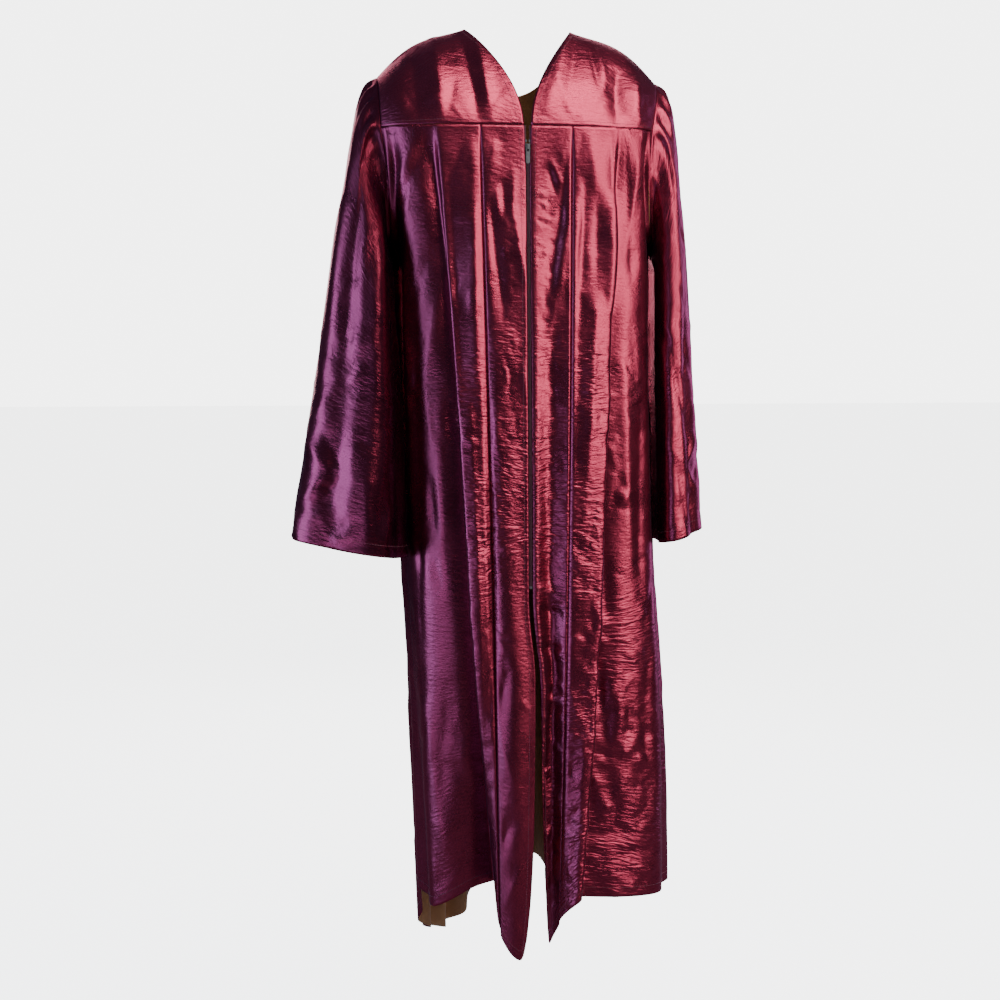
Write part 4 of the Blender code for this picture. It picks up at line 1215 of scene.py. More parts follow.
@dataclass
class Sleeve:
    """A wide bell sleeve, gathered at its cap.

    In its creases, across is the angle from the outer edge in degrees divided by 1000, and along is
    the height in metres.
    """

    side: Side
    body: BodyOutline = field(default_factory=BodyOutline)
    ring_power: float = 2.5
    clearance: float = 0.0105
    underarm_clearance: float = 0.0030
    clearance_opens: float = 0.030
    rows: int = 200
    columns: int = 170
    gathers: int = 9
    gather_depth: float = 0.0032
    gather_length: float = 0.16
    cap_lean: float = 22.0
    underarm_lean: float = 86.0
    cap_push: float = 0.120
    underarm_push: float = 0.050
    gap: float = 0.0009
    wall: float = 0.0016
    allowance: tuple[tuple[float, float], ...] = ((-0.0035, 0.0020), (0.0006, 0.0020), (0.0013, 0.0008))
    row_power: float = 1.25
    gather_starts: float = 0.05
    gather_ends: tuple[float, float] = (60, 85)
    elbow_span: tuple[float, float] = (0.1, 0.6)
    cuff_span: tuple[float, float] = (0.5, 1.0)

    def loop(self, edges: list[tuple[np.ndarray, np.ndarray]]) -> tuple[np.ndarray, np.ndarray, np.ndarray]:
        """Closed armhole loop, evenly spaced by angle: points, normals and angles.

        Args:
            edges: points and normals of the four edges, from the shoulder down the front and up the back.

        Returns:
            The loop's points, their normals and their angles.
        """
        points = np.concatenate([edges[0][0]] + [e[0][1:] for e in edges[1:]])
        normals = np.concatenate([edges[0][1]] + [e[1][1:] for e in edges[1:]])
        run = np.concatenate([[0], np.cumsum(np.linalg.norm(np.diff(points, axis=0), axis=1))])
        low = int(np.argmin(points[:, 2]))
        front = run[:low + 1] / run[low] * pi
        back = pi + (run[low + 1:] - run[low]) / (run[-1] - run[low]) * pi
        angles = np.concatenate([front, back])
        even = np.arange(self.columns) / self.columns * 2 * pi
        spots = np.stack([np.interp(even, angles, points[:, k]) for k in range(3)], axis=-1)
        leans = np.stack([np.interp(even, angles, normals[:, k]) for k in range(3)], axis=-1)
        return spots, unit(leans), even

    def ring(self, ring: Ring, angles: np.ndarray) -> np.ndarray:
        """Points of a ring at the given angles.

        Args:
            ring: the ring's sizes.
            angles: angles from the outer edge towards the front.

        Returns:
            One point for each angle.
        """
        c = np.sign(np.cos(angles)) * np.abs(np.cos(angles)) ** (2 / self.ring_power)
        s = np.sign(np.sin(angles)) * np.abs(np.sin(angles)) ** (2 / self.ring_power)
        across = (ring.outer + ring.inner) / 2 + (ring.outer - ring.inner) / 2 * c
        middle = (ring.outer_height + ring.inner_height) / 2
        height = middle + (ring.outer_height - ring.inner_height) / 2 * c
        depth = (ring.front + ring.back) / 2 - (ring.back - ring.front) / 2 * s
        return np.stack([self.side.sign * across, depth, height], axis=-1)

    def rest_by_body(self, grid: np.ndarray) -> None:
        """Moves points out across, where they would lie in the body or too near it.

        Args:
            grid: rows by columns by X, Y and Z, changed in place.
        """
        body = self.body
        curves = {name: curve_through([s.height for s in SECTIONS], [getattr(s, name) for s in SECTIONS])
                  for name in ("left", "right", "front", "back", "power")}
        z = grid[..., 2]
        depth = np.where(grid[..., 1] < 0, curves["front"](z), curves["back"](z))
        share = np.abs(grid[..., 1] / depth)
        power = curves["power"](z)
        inside = np.clip(1 - np.minimum(share, 1) ** power, 0, 1) ** (1 / power)
        below = smooth_step(0, self.clearance_opens, body.underarm - z)
        least = np.abs(curves[self.side.value](z)) * inside + self.underarm_clearance + (
            self.clearance - self.underarm_clearance) * below
        use = (z <= body.underarm) & (share < 1)
        sign = self.side.sign
        grid[..., 0] = np.where(use, sign * np.maximum(sign * grid[..., 0], least), grid[..., 0])

    def piece(self, edges: list[tuple[np.ndarray, np.ndarray]]) -> ClothPiece:
        """The sleeve's cloth piece, hung from its armhole's edges.

        Args:
            edges: points and normals of the armhole's four edges.

        Returns:
            The piece, not yet built.
        """
        points, normals, angles = self.loop(edges)
        along = unit(np.roll(points, -1, axis=0) - np.roll(points, 1, axis=0))
        away = unit(np.cross(along, normals)) * (1 if self.side is Side.LEFT else -1)
        lean = self.cap_lean + (self.underarm_lean - self.cap_lean) * (1 - np.cos(angles)) / 2
        lean = np.radians(lean)[:, None]
        way = np.cos(lean) * away + np.sin(lean) * normals
        start = points + way * (self.gap + self.wall / 2 * np.sin(lean))
        push = ((1 + np.cos(angles)) / 2)[:, None]
        push = self.underarm_push + (self.cap_push - self.underarm_push) * push
        stations = [start] + [self.ring(ring, angles) for ring in RINGS[self.side]]
        slopes = [way * push]
        for i in range(1, len(stations) - 1):
            slopes.append((stations[i + 1] - stations[i - 1]) / 2)
        slopes.append(stations[-1] - stations[-2])
        spans = len(stations) - 1
        shares = (np.arange(self.rows + 1) / self.rows) ** self.row_power
        rows = []
        for share in shares:
            place = min(share * spans, spans - 1e-9)
            i = int(place)
            t = place - i
            rows.append((1 + 2 * t) * (1 - t) ** 2 * stations[i] + t * (1 - t) ** 2 * slopes[i]
                        + t * t * (3 - 2 * t) * stations[i + 1] + t * t * (t - 1) * slopes[i + 1])
        grid = np.array(rows)
        flip = -1 if self.side is Side.LEFT else 1
        grid += self.fold_rise(shares, angles)[..., None] * grid_normals(grid, True, flip)
        self.rest_by_body(grid[1:])
        allowance = [points + away * reach - normals * depth for reach, depth in self.allowance]
        grid = np.concatenate([np.array(allowance), grid])
        degrees = np.degrees((angles + pi) % (2 * pi) - pi)
        across = np.tile(degrees, (len(grid), 1)) / 1000
        creases = all_creases(SLEEVE_CREASES[self.side], SLEEVE_CRUMPLES[self.side])
        return ClothPiece("cloth_sleeve_" + self.side.value, grid, across, grid[..., 2], flip,
                          SLEEVE_CUT, wrap=True, creases=creases, tucked=len(allowance))

    def fold_rise(self, shares: np.ndarray, angles: np.ndarray) -> np.ndarray:
        """Height of the cap's gathers and the long folds.

        Args:
            shares: each row's place, 0 at the cap and 1 at the cuff.
            angles: each column's angle.

        Returns:
            Rows by columns, in metres.
        """
        turned = (angles + pi) % (2 * pi) - pi
        gather = smooth_step(0, self.gather_starts, shares)
        gather = gather * (1 - smooth_step(self.gather_starts, self.gather_length, shares))
        low, high = self.gather_ends
        cap = 1 - smooth_step(radians(low), radians(high), np.abs(turned))
        rise = self.gather_depth * gather[:, None] * cap * np.cos(turned * self.gathers * 2)
        for fold in SLEEVE_FOLDS[self.side]:
            away = (turned - radians(fold.angle) + pi) % (2 * pi) - pi
            shape = np.exp(-(away / radians(fold.width)) ** 2)
            height = fold.elbow * smooth_step(*self.elbow_span, shares)
            height = height + (fold.cuff - fold.elbow) * smooth_step(*self.cuff_span, shares)
            rise = rise + shape * height[:, None]
        return rise


def repeat_tree(name: str) -> tuple[bpy.types.NodeTree, dict[str, str]]:
    """Geometry Nodes tree that lays short rods along lines, all of one size.

    Args:
        name: name of the tree.

    Returns:
        The tree, and the identifier of each of its inputs by name.
    """
    group = bpy.data.node_groups.new(name, "GeometryNodeTree")
    face = group.interface
    face.new_socket("Geometry", in_out="INPUT", socket_type="NodeSocketGeometry")
    names = {}
    for key in ("Pitch", "Long", "Thick", "Across"):
        names[key] = face.new_socket(key, in_out="INPUT", socket_type="NodeSocketFloat").identifier
    names["Finish"] = face.new_socket("Finish", in_out="INPUT", socket_type="NodeSocketMaterial").identifier
    face.new_socket("Geometry", in_out="OUTPUT", socket_type="NodeSocketGeometry")
    tree = Tree(group)
    start = tree.add("NodeGroupInput")
    end = tree.add("NodeGroupOutput")
    curve = tree.add("GeometryNodeMeshToCurve", {0: start.outputs["Geometry"]})
    spaced = tree.add("GeometryNodeResampleCurve", {0: curve.outputs[0]}, mode="LENGTH")
    tree.join(start.outputs["Pitch"], spaced.inputs["Length"])
    radius = tree.add("ShaderNodeMath", {0: start.outputs["Thick"], 1: 0.5}, operation="MULTIPLY")
    rod = tree.add("GeometryNodeMeshCylinder", {"Vertices": ROD_SIDES, "Radius": radius.outputs[0],
                                                "Depth": start.outputs["Long"]})
    tangent = tree.add("GeometryNodeInputTangent")
    sideways = tree.add("ShaderNodeMix",
                        {0: start.outputs["Across"], 4: tangent.outputs[0], 5: (1.0, 0.0, 0.0)},
                        data_type="VECTOR")
    turned = tree.add("FunctionNodeAlignRotationToVector", {"Vector": sideways.outputs[1]}, axis="Z")
    laid = tree.add("GeometryNodeInstanceOnPoints",
                    {"Points": spaced.outputs[0], "Instance": rod.outputs[0],
                     "Rotation": turned.outputs[0]})
    real = tree.add("GeometryNodeRealizeInstances", {0: laid.outputs[0]})
    dressed = tree.add("GeometryNodeSetMaterial", {"Geometry": real.outputs[0],
                                                   "Material": start.outputs["Finish"]})
    tree.join(dressed.outputs[0], end.inputs[0])
    return group, names


def rods_along(name: str, lines: list[np.ndarray], sizes: dict[str, float], finish: Finish) -> bpy.types.Object:
    """Lays short rods along lines, and turns them into one plain mesh.

    Args:
        name: name of the piece.
        lines: points of each line.
        sizes: the tree's number inputs by name.
        finish: the rods' finish.

    Returns:
        The finished piece.
    """
    vertices = np.concatenate(lines)
    edges = []
    first = 0
    for line in lines:
        edges += [(first + i, first + i + 1) for i in range(len(line) - 1)]
        first += len(line)
    mesh = bpy.data.meshes.new(name + "_lines")
    mesh.from_pydata(vertices.tolist(), edges, [])
    guide = bpy.data.objects.new(name + "_lines", mesh)
    bpy.context.scene.collection.objects.link(guide)
    tree, names = repeat_tree(name)
    modifier = guide.modifiers.new("rods", "NODES")
    modifier.node_group = tree
    for key, value in sizes.items():
        modifier[names[key]] = value
    modifier[names["Finish"]] = finish.material()
    evaluated = guide.evaluated_get(bpy.context.evaluated_depsgraph_get())
    plain = bpy.data.meshes.new_from_object(evaluated)
    bpy.data.objects.remove(guide)
    plain.name = name
    piece = bpy.data.objects.new(name, plain)
    bpy.context.scene.collection.objects.link(piece)
    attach(piece, "gown")
    LOG.info("%s: %d faces", name, len(plain.polygons))
    return piece


@dataclass(frozen=True)
class Thread(Finish):
    """Sewing thread, a shade darker than the cloth."""

    name: str = "thread"
    colour: Colour = (0.17, 0.018, 0.036, 1.0)
    pale: Colour = (0.30, 0.045, 0.075, 1.0)
    roughness: float = 0.45
    uneven: float = 90.0
    sheen: float = 0.3

    def dress(self, tree: Tree, shader: bpy.types.Node) -> None:
        """Joins an uneven colour to the shader.

        Args:
            tree: the material's tree.
            shader: its Principled BSDF.
        """
        place = tree.add("ShaderNodeTexCoord").outputs["Object"]
        noise = tree.add("ShaderNodeTexNoise", {"Vector": place, "Scale": self.uneven})
        tint = tree.tint(noise.outputs[0], self.colour, self.pale)
        tree.fill(shader, {"Base Color": tint, "Roughness": self.roughness, "Sheen Weight": self.sheen})


@dataclass(frozen=True)
class Coil(Finish):
    """Dyed nylon of the zip's coils."""

    name: str = "zip_coil"
    colour: Colour = (0.050, 0.012, 0.020, 1.0)
    pale: Colour = (0.095, 0.020, 0.034, 1.0)
    roughness: float = 0.34
    uneven: float = 300.0
    smoother: float = 0.05
    rougher: float = 0.12

    def dress(self, tree: Tree, shader: bpy.types.Node) -> None:
        """Joins colour and a moulded gloss to the shader.

        Args:
            tree: the material's tree.
            shader: its Principled BSDF.
        """
        place = tree.add("ShaderNodeTexCoord").outputs["Object"]
        noise = tree.add("ShaderNodeTexNoise", {"Vector": place, "Scale": self.uneven, "Detail": 2.0})
        tint = tree.tint(noise.outputs[0], self.colour, self.pale)
        rough = tree.add("ShaderNodeMapRange", {"Value": noise.outputs[0],
                                                "To Min": self.roughness - self.smoother,
                                                "To Max": self.roughness + self.rougher})
        tree.fill(shader, {"Base Color": tint, "Roughness": rough.outputs[0]})


@dataclass(frozen=True)
class Tape(Finish):
    """Woven tape of the zip, with fine cross threads."""

    name: str = "zip_tape_weave"
    colour: Colour = (0.075, 0.012, 0.022, 1.0)
    pale: Colour = (0.130, 0.024, 0.040, 1.0)
    threads: float = 1500.0
    round_of_wave: float = 6.28
    uneven: float = 0.6
    roughness: float = 0.70
    grain: float = 0.00015
    grain_strength: float = 0.8

    def dress(self, tree: Tree, shader: bpy.types.Node) -> None:
        """Joins threads, both ways, to colour and relief.

        Args:
            tree: the material's tree.
            shader: its Principled BSDF.
        """
        place = tree.add("ShaderNodeTexCoord").outputs["Object"]
        waves = []
        for way in ("X", "Z"):
            wave = tree.add("ShaderNodeTexWave",
                            {"Vector": place, "Scale": self.threads / self.round_of_wave,
                             "Distortion": self.uneven}, bands_direction=way)
            waves.append(wave.outputs["Fac"])
        total = tree.add("ShaderNodeMath", {0: waves[0], 1: waves[1]}, operation="MULTIPLY").outputs[0]
        tint = tree.tint(total, self.colour, self.pale)
        tree.fill(shader, {"Base Color": tint, "Roughness": self.roughness})
        bump = tree.add("ShaderNodeBump",
                        {"Height": total, "Distance": self.grain, "Strength": self.grain_strength})
        tree.join(bump.outputs[0], shader.inputs["Normal"])


@dataclass(frozen=True)
class Nickel(Finish):
    """Dull nickel of the slider, its pull tab and the stops, rubbed brighter in patches."""

    name: str = "dull_nickel"
    colour: Colour = (0.15, 0.145, 0.15, 1.0)
    worn: Colour = (0.30, 0.29, 0.29, 1.0)
    roughness: float = 0.34
    patches: float = 260.0
    rougher: float = 0.12
    smoother: float = 0.08
    scratches: float = 1800.0
    scratch_depth: float = 0.00003
    scratch_strength: float = 0.6

    def dress(self, tree: Tree, shader: bpy.types.Node) -> None:
        """Joins wear to colour and gloss.

        Args:
            tree: the material's tree.
            shader: its Principled BSDF.
        """
        place = tree.add("ShaderNodeTexCoord").outputs["Object"]
        patches = tree.add("ShaderNodeTexNoise", {"Vector": place, "Scale": self.patches, "Detail": 3.0})
        tint = tree.tint(patches.outputs[0], self.colour, self.worn)
        rough = tree.add("ShaderNodeMapRange", {"Value": patches.outputs[0],
                                                "To Min": self.roughness + self.rougher,
                                                "To Max": self.roughness - self.smoother})
        tree.fill(shader, {"Base Color": tint, "Roughness": rough.outputs[0], "Metallic": 1.0})
        scratch = tree.add("ShaderNodeTexNoise", {"Vector": place, "Scale": self.scratches})
        bump = tree.add("ShaderNodeBump", {"Height": scratch.outputs[0], "Distance": self.scratch_depth,
                                           "Strength": self.scratch_strength})
        tree.join(bump.outputs[0], shader.inputs["Normal"])


@dataclass(frozen=True)
class Sewing:
    """Rows of stitches along the hems, the neck, the plackets and the yoke seams."""

    long: float = 0.0027
    pitch: float = 0.0038
    thick: float = 0.00055
    placket: int = 4
    hem: int = 5
    yoke: int = 3
    neck: int = 3
    proud: float = 0.2

    def lines(self, piece: ClothPiece, kind: str) -> list[np.ndarray]:
        """Lines of stitches of one piece.

        Args:
            piece: the cloth piece, already built.
            kind: front, back, yoke, back_yoke or sleeve.

        Returns:
            Points of each line.
        """
        face = piece.face
        if kind == "front":
            return [face[2:-1, self.placket], face[-self.hem, 2:-2]]
        if kind == "back":
            return [face[-self.hem, 2:-2]]
        if kind == "yoke":
            return [face[-self.yoke, 2:-2], face[2:-2, self.neck]]
        if kind == "back_yoke":
            yokes = Yokes()
            low, high = yokes.columns, yokes.columns + yokes.neck_columns
            return [face[-self.yoke, 2:-2], face[self.neck, low:high]]
        return [np.concatenate([face[-self.hem], face[-self.hem, :1]])]

    def build(self, piece: ClothPiece, kind: str) -> None:
        """Adds the stitches of one piece.

        Args:
            piece: the cloth piece, already built.
            kind: front, back, yoke, back_yoke or sleeve.
        """
        sizes = {"Pitch": self.pitch, "Long": self.long, "Thick": self.thick, "Across": 0.0}
        name = piece.name.replace("cloth", "stitches")
        rods_along(name, self.lines(piece, kind), sizes, Thread())


@dataclass(frozen=True)
class Zip:
    """Coils of the centre zip, and the finishes of its tapes, slider, tab and stops."""

    pitch: float = 0.0015
    coil_long: float = 0.0019
    coil_thick: float = 0.0010
    centre: float = 0.0010
    proud: float = 0.0002
    same: float = 2e-5
    digits: int = 5

    def build(self) -> None:
        """Adds the coils in front of the chain, and dresses the zip's solids."""
        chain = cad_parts["zip_chain"]
        points = np.array([v.co for v in chain.data.vertices])
        heights = np.unique(np.round(points[:, 2], self.digits))
        depths = np.array([points[np.abs(points[:, 2] - z) < self.same, 1].min() for z in heights])
        z = np.arange(heights[0] + self.pitch, heights[-1] - self.pitch, self.pitch)
        depth = np.interp(z, heights, depths) - self.proud
        lines = []
        for side in Side:
            shift = self.pitch / 4 * side.sign
            lines.append(np.stack([np.full(len(z), side.sign * self.centre), depth, z + shift], axis=-1))
        sizes = {"Pitch": self.pitch, "Long": self.coil_long, "Thick": self.coil_thick, "Across": 1.0}
        rods_along("zip_coils", lines, sizes, Coil())
        finishes = {"zip_chain": Coil(), "zip_tape_left": Tape(), "zip_tape_right": Tape(),
                    "slider": Nickel(), "slider_crown": Nickel(), "pull_tab": Nickel(),
                    "top_stop_left": Nickel(), "top_stop_right": Nickel(), "bottom_stop": Nickel()}
        for name, finish in finishes.items():
            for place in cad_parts[name].material_slots:
                place.material = finish.material()


# Flat cuts: width, length and area of one piece
FRONT_CUT = (0.420, 1.190, 0.430)
BACK_CUT = (0.720, 1.180, 0.760)
YOKE_CUT = (0.220, 0.190, 0.036)
BACK_YOKE_CUT = (0.440, 0.230, 0.080)
SLEEVE_CUT = (0.520, 0.700, 0.330)

# Creases of the fronts, in metres from the zip and of height. A ridge whose outer side faces
# left reads dark on the left front, and one whose inner side does so on the right front.
FRONT_CREASES = {
    Side.LEFT: (
        Crease(0.074, -0.140, 0.078, -0.520, 0.012, 0.0042),
        Crease(0.112, -0.155, 0.090, -0.520, 0.013, -0.0046),
        Crease(0.024, -0.225, 0.004, -0.345, 0.009, 0.0036),
        Crease(0.056, -0.215, 0.033, -0.400, 0.010, -0.0044),
        Crease(0.003, -0.300, 0.002, -0.450, 0.011, 0.0030),
        Crease(0.020, -0.172, 0.023, -0.245, 0.006, 0.0018),
        Crease(0.036, -0.188, 0.034, -0.242, 0.006, -0.0020),
        Crease(0.046, -0.205, 0.040, -0.250, 0.005, 0.0012),
        Crease(0.010, -0.440, 0.006, -0.505, 0.006, 0.0020),
        Crease(0.030, -0.435, 0.030, -0.505, 0.006, -0.0018),
        Crease(0.036, -0.452, 0.030, -0.480, 0.004, 0.0012),
        Crease(0.002, -0.400, 0.002, -0.860, 0.013, 0.0036),
        Crease(0.060, -0.390, 0.050, -0.900, 0.017, 0.0050),
        Crease(0.084, -0.470, 0.066, -0.960, 0.009, 0.0044),
        Crease(0.064, -0.480, 0.052, -0.545, 0.004, -0.0014),
        Crease(0.050, -0.560, 0.043, -0.660, 0.004, -0.0016),
        Crease(0.078, -0.700, 0.040, -0.716, 0.005, -0.0014),
        Crease(0.070, -0.820, 0.020, -0.845, 0.006, -0.0016),
        Crease(0.030, -0.880, 0.060, -0.960, 0.012, -0.0030),
        Crease(0.060, -0.940, 0.020, -1.060, 0.010, 0.0022),
        Crease(0.020, -1.080, 0.052, -1.150, 0.010, -0.0022),
        Crease(0.014, -1.160, 0.040, -1.230, 0.008, 0.0016),
        Crease(0.184, -0.119, 0.204, -0.123, 0.0035, -0.0024),
        Crease(0.135, -0.122, 0.185, -0.225, 0.012, -0.0030),
        Crease(0.152, -0.122, 0.205, -0.240, 0.010, 0.0026),
        Crease(0.120, -0.300, 0.150, -0.460, 0.010, 0.0024),
        Crease(0.190, -0.280, 0.200, -0.740, 0.010, 0.0030),
        Crease(0.168, -0.320, 0.172, -0.950, 0.010, -0.0032),
        Crease(0.135, -0.480, 0.128, -0.800, 0.012, 0.0028),
        Crease(0.150, -0.600, 0.140, -0.700, 0.008, -0.0022),
        Crease(0.215, -0.600, 0.205, -1.060, 0.012, 0.0032),
        Crease(0.130, -0.900, 0.150, -1.120, 0.014, -0.0034),
        Crease(0.165, -0.930, 0.140, -1.200, 0.012, 0.0028),
        Crease(0.240, -0.500, 0.235, -0.900, 0.012, -0.0030),
    ),
    Side.RIGHT: (
        Crease(0.030, -0.172, 0.040, -0.212, 0.005, -0.0018),
        Crease(0.030, -0.158, 0.050, -0.200, 0.006, 0.0022),
        Crease(0.056, -0.155, 0.032, -0.345, 0.010, -0.0044),
        Crease(0.064, -0.215, 0.024, -0.430, 0.010, 0.0036),
        Crease(0.074, -0.255, 0.056, -0.650, 0.010, -0.0042),
        Crease(0.100, -0.270, 0.078, -0.670, 0.010, 0.0034),
        Crease(0.082, -0.180, 0.076, -0.345, 0.010, -0.0042),
        Crease(0.124, -0.200, 0.121, -0.380, 0.012, 0.0070),
        Crease(0.100, -0.205, 0.096, -0.370, 0.011, -0.0044),
        Crease(0.090, -0.118, 0.096, -0.205, 0.012, 0.0032),
        Crease(0.122, -0.120, 0.122, -0.225, 0.009, -0.0030),
        Crease(0.112, -0.545, 0.118, -0.580, 0.005, -0.0024),
        Crease(0.118, -0.575, 0.110, -0.625, 0.005, -0.0024),
        Crease(0.108, -0.610, 0.128, -0.880, 0.010, -0.0036),
        Crease(0.012, -0.760, 0.048, -0.785, 0.007, 0.0042),
        Crease(0.014, -0.795, 0.052, -0.806, 0.007, -0.0036),
        Crease(0.046, -0.690, 0.076, -0.720, 0.007, -0.0028),
        Crease(0.046, -0.715, 0.078, -0.742, 0.008, 0.0024),
        Crease(0.030, -0.820, 0.046, -0.940, 0.007, -0.0022),
        Crease(0.030, -0.930, 0.012, -1.200, 0.010, -0.0040),
        Crease(0.078, -0.950, 0.062, -1.220, 0.010, 0.0034),
        Crease(0.102, -0.840, 0.120, -1.010, 0.010, -0.0060),
        Crease(0.136, -0.860, 0.134, -1.020, 0.012, 0.0034),
        Crease(0.118, -1.010, 0.140, -1.210, 0.009, -0.0036),
        Crease(0.092, -1.020, 0.118, -1.120, 0.007, 0.0026),
        Crease(0.150, -1.040, 0.110, -1.110, 0.007, 0.0024),
        Crease(0.130, -1.120, 0.170, -1.190, 0.008, -0.0026),
        Crease(0.150, -0.118, 0.172, -0.122, 0.0035, -0.0024),
        Crease(0.145, -0.130, 0.160, -0.330, 0.010, -0.0032),
        Crease(0.165, -0.150, 0.150, -0.300, 0.007, 0.0030),
        Crease(0.150, -0.420, 0.160, -0.760, 0.012, 0.0034),
        Crease(0.180, -0.460, 0.176, -0.820, 0.012, -0.0034),
        Crease(0.190, -0.820, 0.180, -1.160, 0.012, -0.0034),
    ),
}
FRONT_CRUMPLES = {
    Side.LEFT: (
        Crumple((0.012, -0.78), (0.036, -0.24), 110, 0.018, 0.0042, 0.0007, 6, 30, 15),
        Crumple((0.040, -0.90), (0.088, -0.44), 100, 0.024, 0.0048, 0.0010, 4, 20, 11),
        Crumple((0.038, -0.90), (0.110, -0.14), 80, 0.056, 0.0080, 0.0012, 94, 14, 12),
        Crumple((0.010, -1.26), (0.080, -0.90), 40, 0.050, 0.0070, 0.0010, 20, 50, 13),
        Crumple((0.110, -1.22), (0.300, -0.15), 150, 0.100, 0.0090, 0.0013, 92, 16, 14),
    ),
    Side.RIGHT: (
        Crumple((0.012, -0.78), (0.036, -0.20), 170, 0.018, 0.0042, 0.0008, 0, 34, 26),
        Crumple((0.038, -0.80), (0.110, -0.40), 130, 0.022, 0.0048, 0.0010, 0, 24, 21),
        Crumple((0.038, -0.90), (0.130, -0.14), 80, 0.056, 0.0080, 0.0012, 86, 14, 22),
        Crumple((0.010, -1.24), (0.200, -0.80), 260, 0.042, 0.0058, 0.0021, 20, 50, 23),
        Crumple((0.120, -0.80), (0.200, -0.40), 60, 0.034, 0.0052, 0.0013, 14, 40, 24),
        Crumple((0.130, -1.20), (0.300, -0.15), 110, 0.090, 0.0090, 0.0013, 88, 18, 25),
    ),
}
BACK_CREASES = (
    Crease(-0.060, -0.160, -0.030, -0.380, 0.011, -0.0036),
    Crease(0.050, -0.155, 0.082, -0.330, 0.011, -0.0036),
    Crease(-0.120, -0.210, -0.100, -0.480, 0.012, 0.0034),
    Crease(0.128, -0.200, 0.110, -0.460, 0.012, 0.0034),
    Crease(-0.020, -0.420, 0.030, -0.620, 0.010, -0.0032),
    Crease(-0.190, -0.420, -0.160, -0.760, 0.012, -0.0034),
    Crease(0.185, -0.460, 0.150, -0.800, 0.012, -0.0034),
    Crease(-0.090, -0.700, -0.050, -0.960, 0.012, -0.0040),
    Crease(0.070, -0.720, 0.100, -1.000, 0.012, -0.0040),
    Crease(-0.010, -0.980, -0.040, -1.220, 0.012, 0.0036),
    Crease(0.160, -0.960, 0.120, -1.200, 0.011, 0.0034),
    Crease(-0.210, -0.900, -0.180, -1.200, 0.012, 0.0034),
    Crease(0.230, -0.700, 0.240, -1.100, 0.012, -0.0034),
    Crease(-0.250, -0.600, -0.240, -1.000, 0.012, -0.0034),
)
BACK_CRUMPLES = (
    Crumple((-0.300, -0.75), (0.300, -0.15), 200, 0.080, 0.0085, 0.0013, 90, 18, 31),
    Crumple((-0.300, -1.22), (0.300, -0.75), 170, 0.080, 0.0085, 0.0015, 90, 26, 32),
    Crumple((-0.200, -0.90), (0.200, -0.35), 140, 0.032, 0.0052, 0.0011, 4, 26, 33),
    Crumple((-0.280, -1.24), (0.280, -0.85), 200, 0.040, 0.0055, 0.0016, 10, 46, 34),
)
YOKE_CREASES = {
    Side.LEFT: (
        Crease(0.066, 0.034, 0.050, -0.112, 0.009, 0.0036),
        Crease(0.088, 0.034, 0.068, -0.112, 0.010, -0.0040),
        Crease(0.124, 0.034, 0.121, -0.114, 0.016, 0.0062),
        Crease(0.160, 0.020, 0.154, -0.112, 0.018, -0.0042),
        Crease(0.030, -0.055, 0.060, -0.100, 0.006, -0.0012),
        Crease(0.100, -0.045, 0.112, -0.100, 0.006, -0.0014),
    ),
    Side.RIGHT: (
        Crease(0.024, -0.100, 0.070, 0.030, 0.014, 0.0040),
        Crease(0.098, 0.020, 0.108, -0.064, 0.0045, -0.0018),
        Crease(0.110, 0.010, 0.120, -0.050, 0.0060, 0.0014),
        Crease(0.136, -0.020, 0.130, -0.112, 0.014, -0.0070),
        Crease(0.166, -0.030, 0.160, -0.112, 0.014, 0.0060),
        Crease(0.040, -0.030, 0.066, -0.100, 0.008, 0.0016),
        Crease(0.080, 0.020, 0.066, -0.050, 0.007, -0.0014),
    ),
}
YOKE_CRUMPLES = {
    Side.LEFT: (Crumple((0.030, -0.105), (0.190, 0.020), 46, 0.040, 0.0060, 0.0008, 70, 50, 41),),
    Side.RIGHT: (Crumple((0.030, -0.105), (0.190, 0.020), 46, 0.040, 0.0060, 0.0008, 110, 50, 42),),
}
BACK_YOKE_CREASES = (
    Crease(-0.130, 0.020, -0.060, -0.110, 0.010, -0.0022),
    Crease(0.140, 0.010, 0.075, -0.120, 0.010, -0.0022),
    Crease(-0.030, -0.030, 0.035, -0.120, 0.009, 0.0018),
    Crease(-0.165, -0.020, -0.150, -0.120, 0.010, 0.0020),
    Crease(0.170, -0.030, 0.160, -0.120, 0.010, 0.0020),
)
BACK_YOKE_CRUMPLES = (Crumple((-0.190, -0.130), (0.190, 0.030), 90, 0.040, 0.0060, 0.0008, 80, 60, 43),)
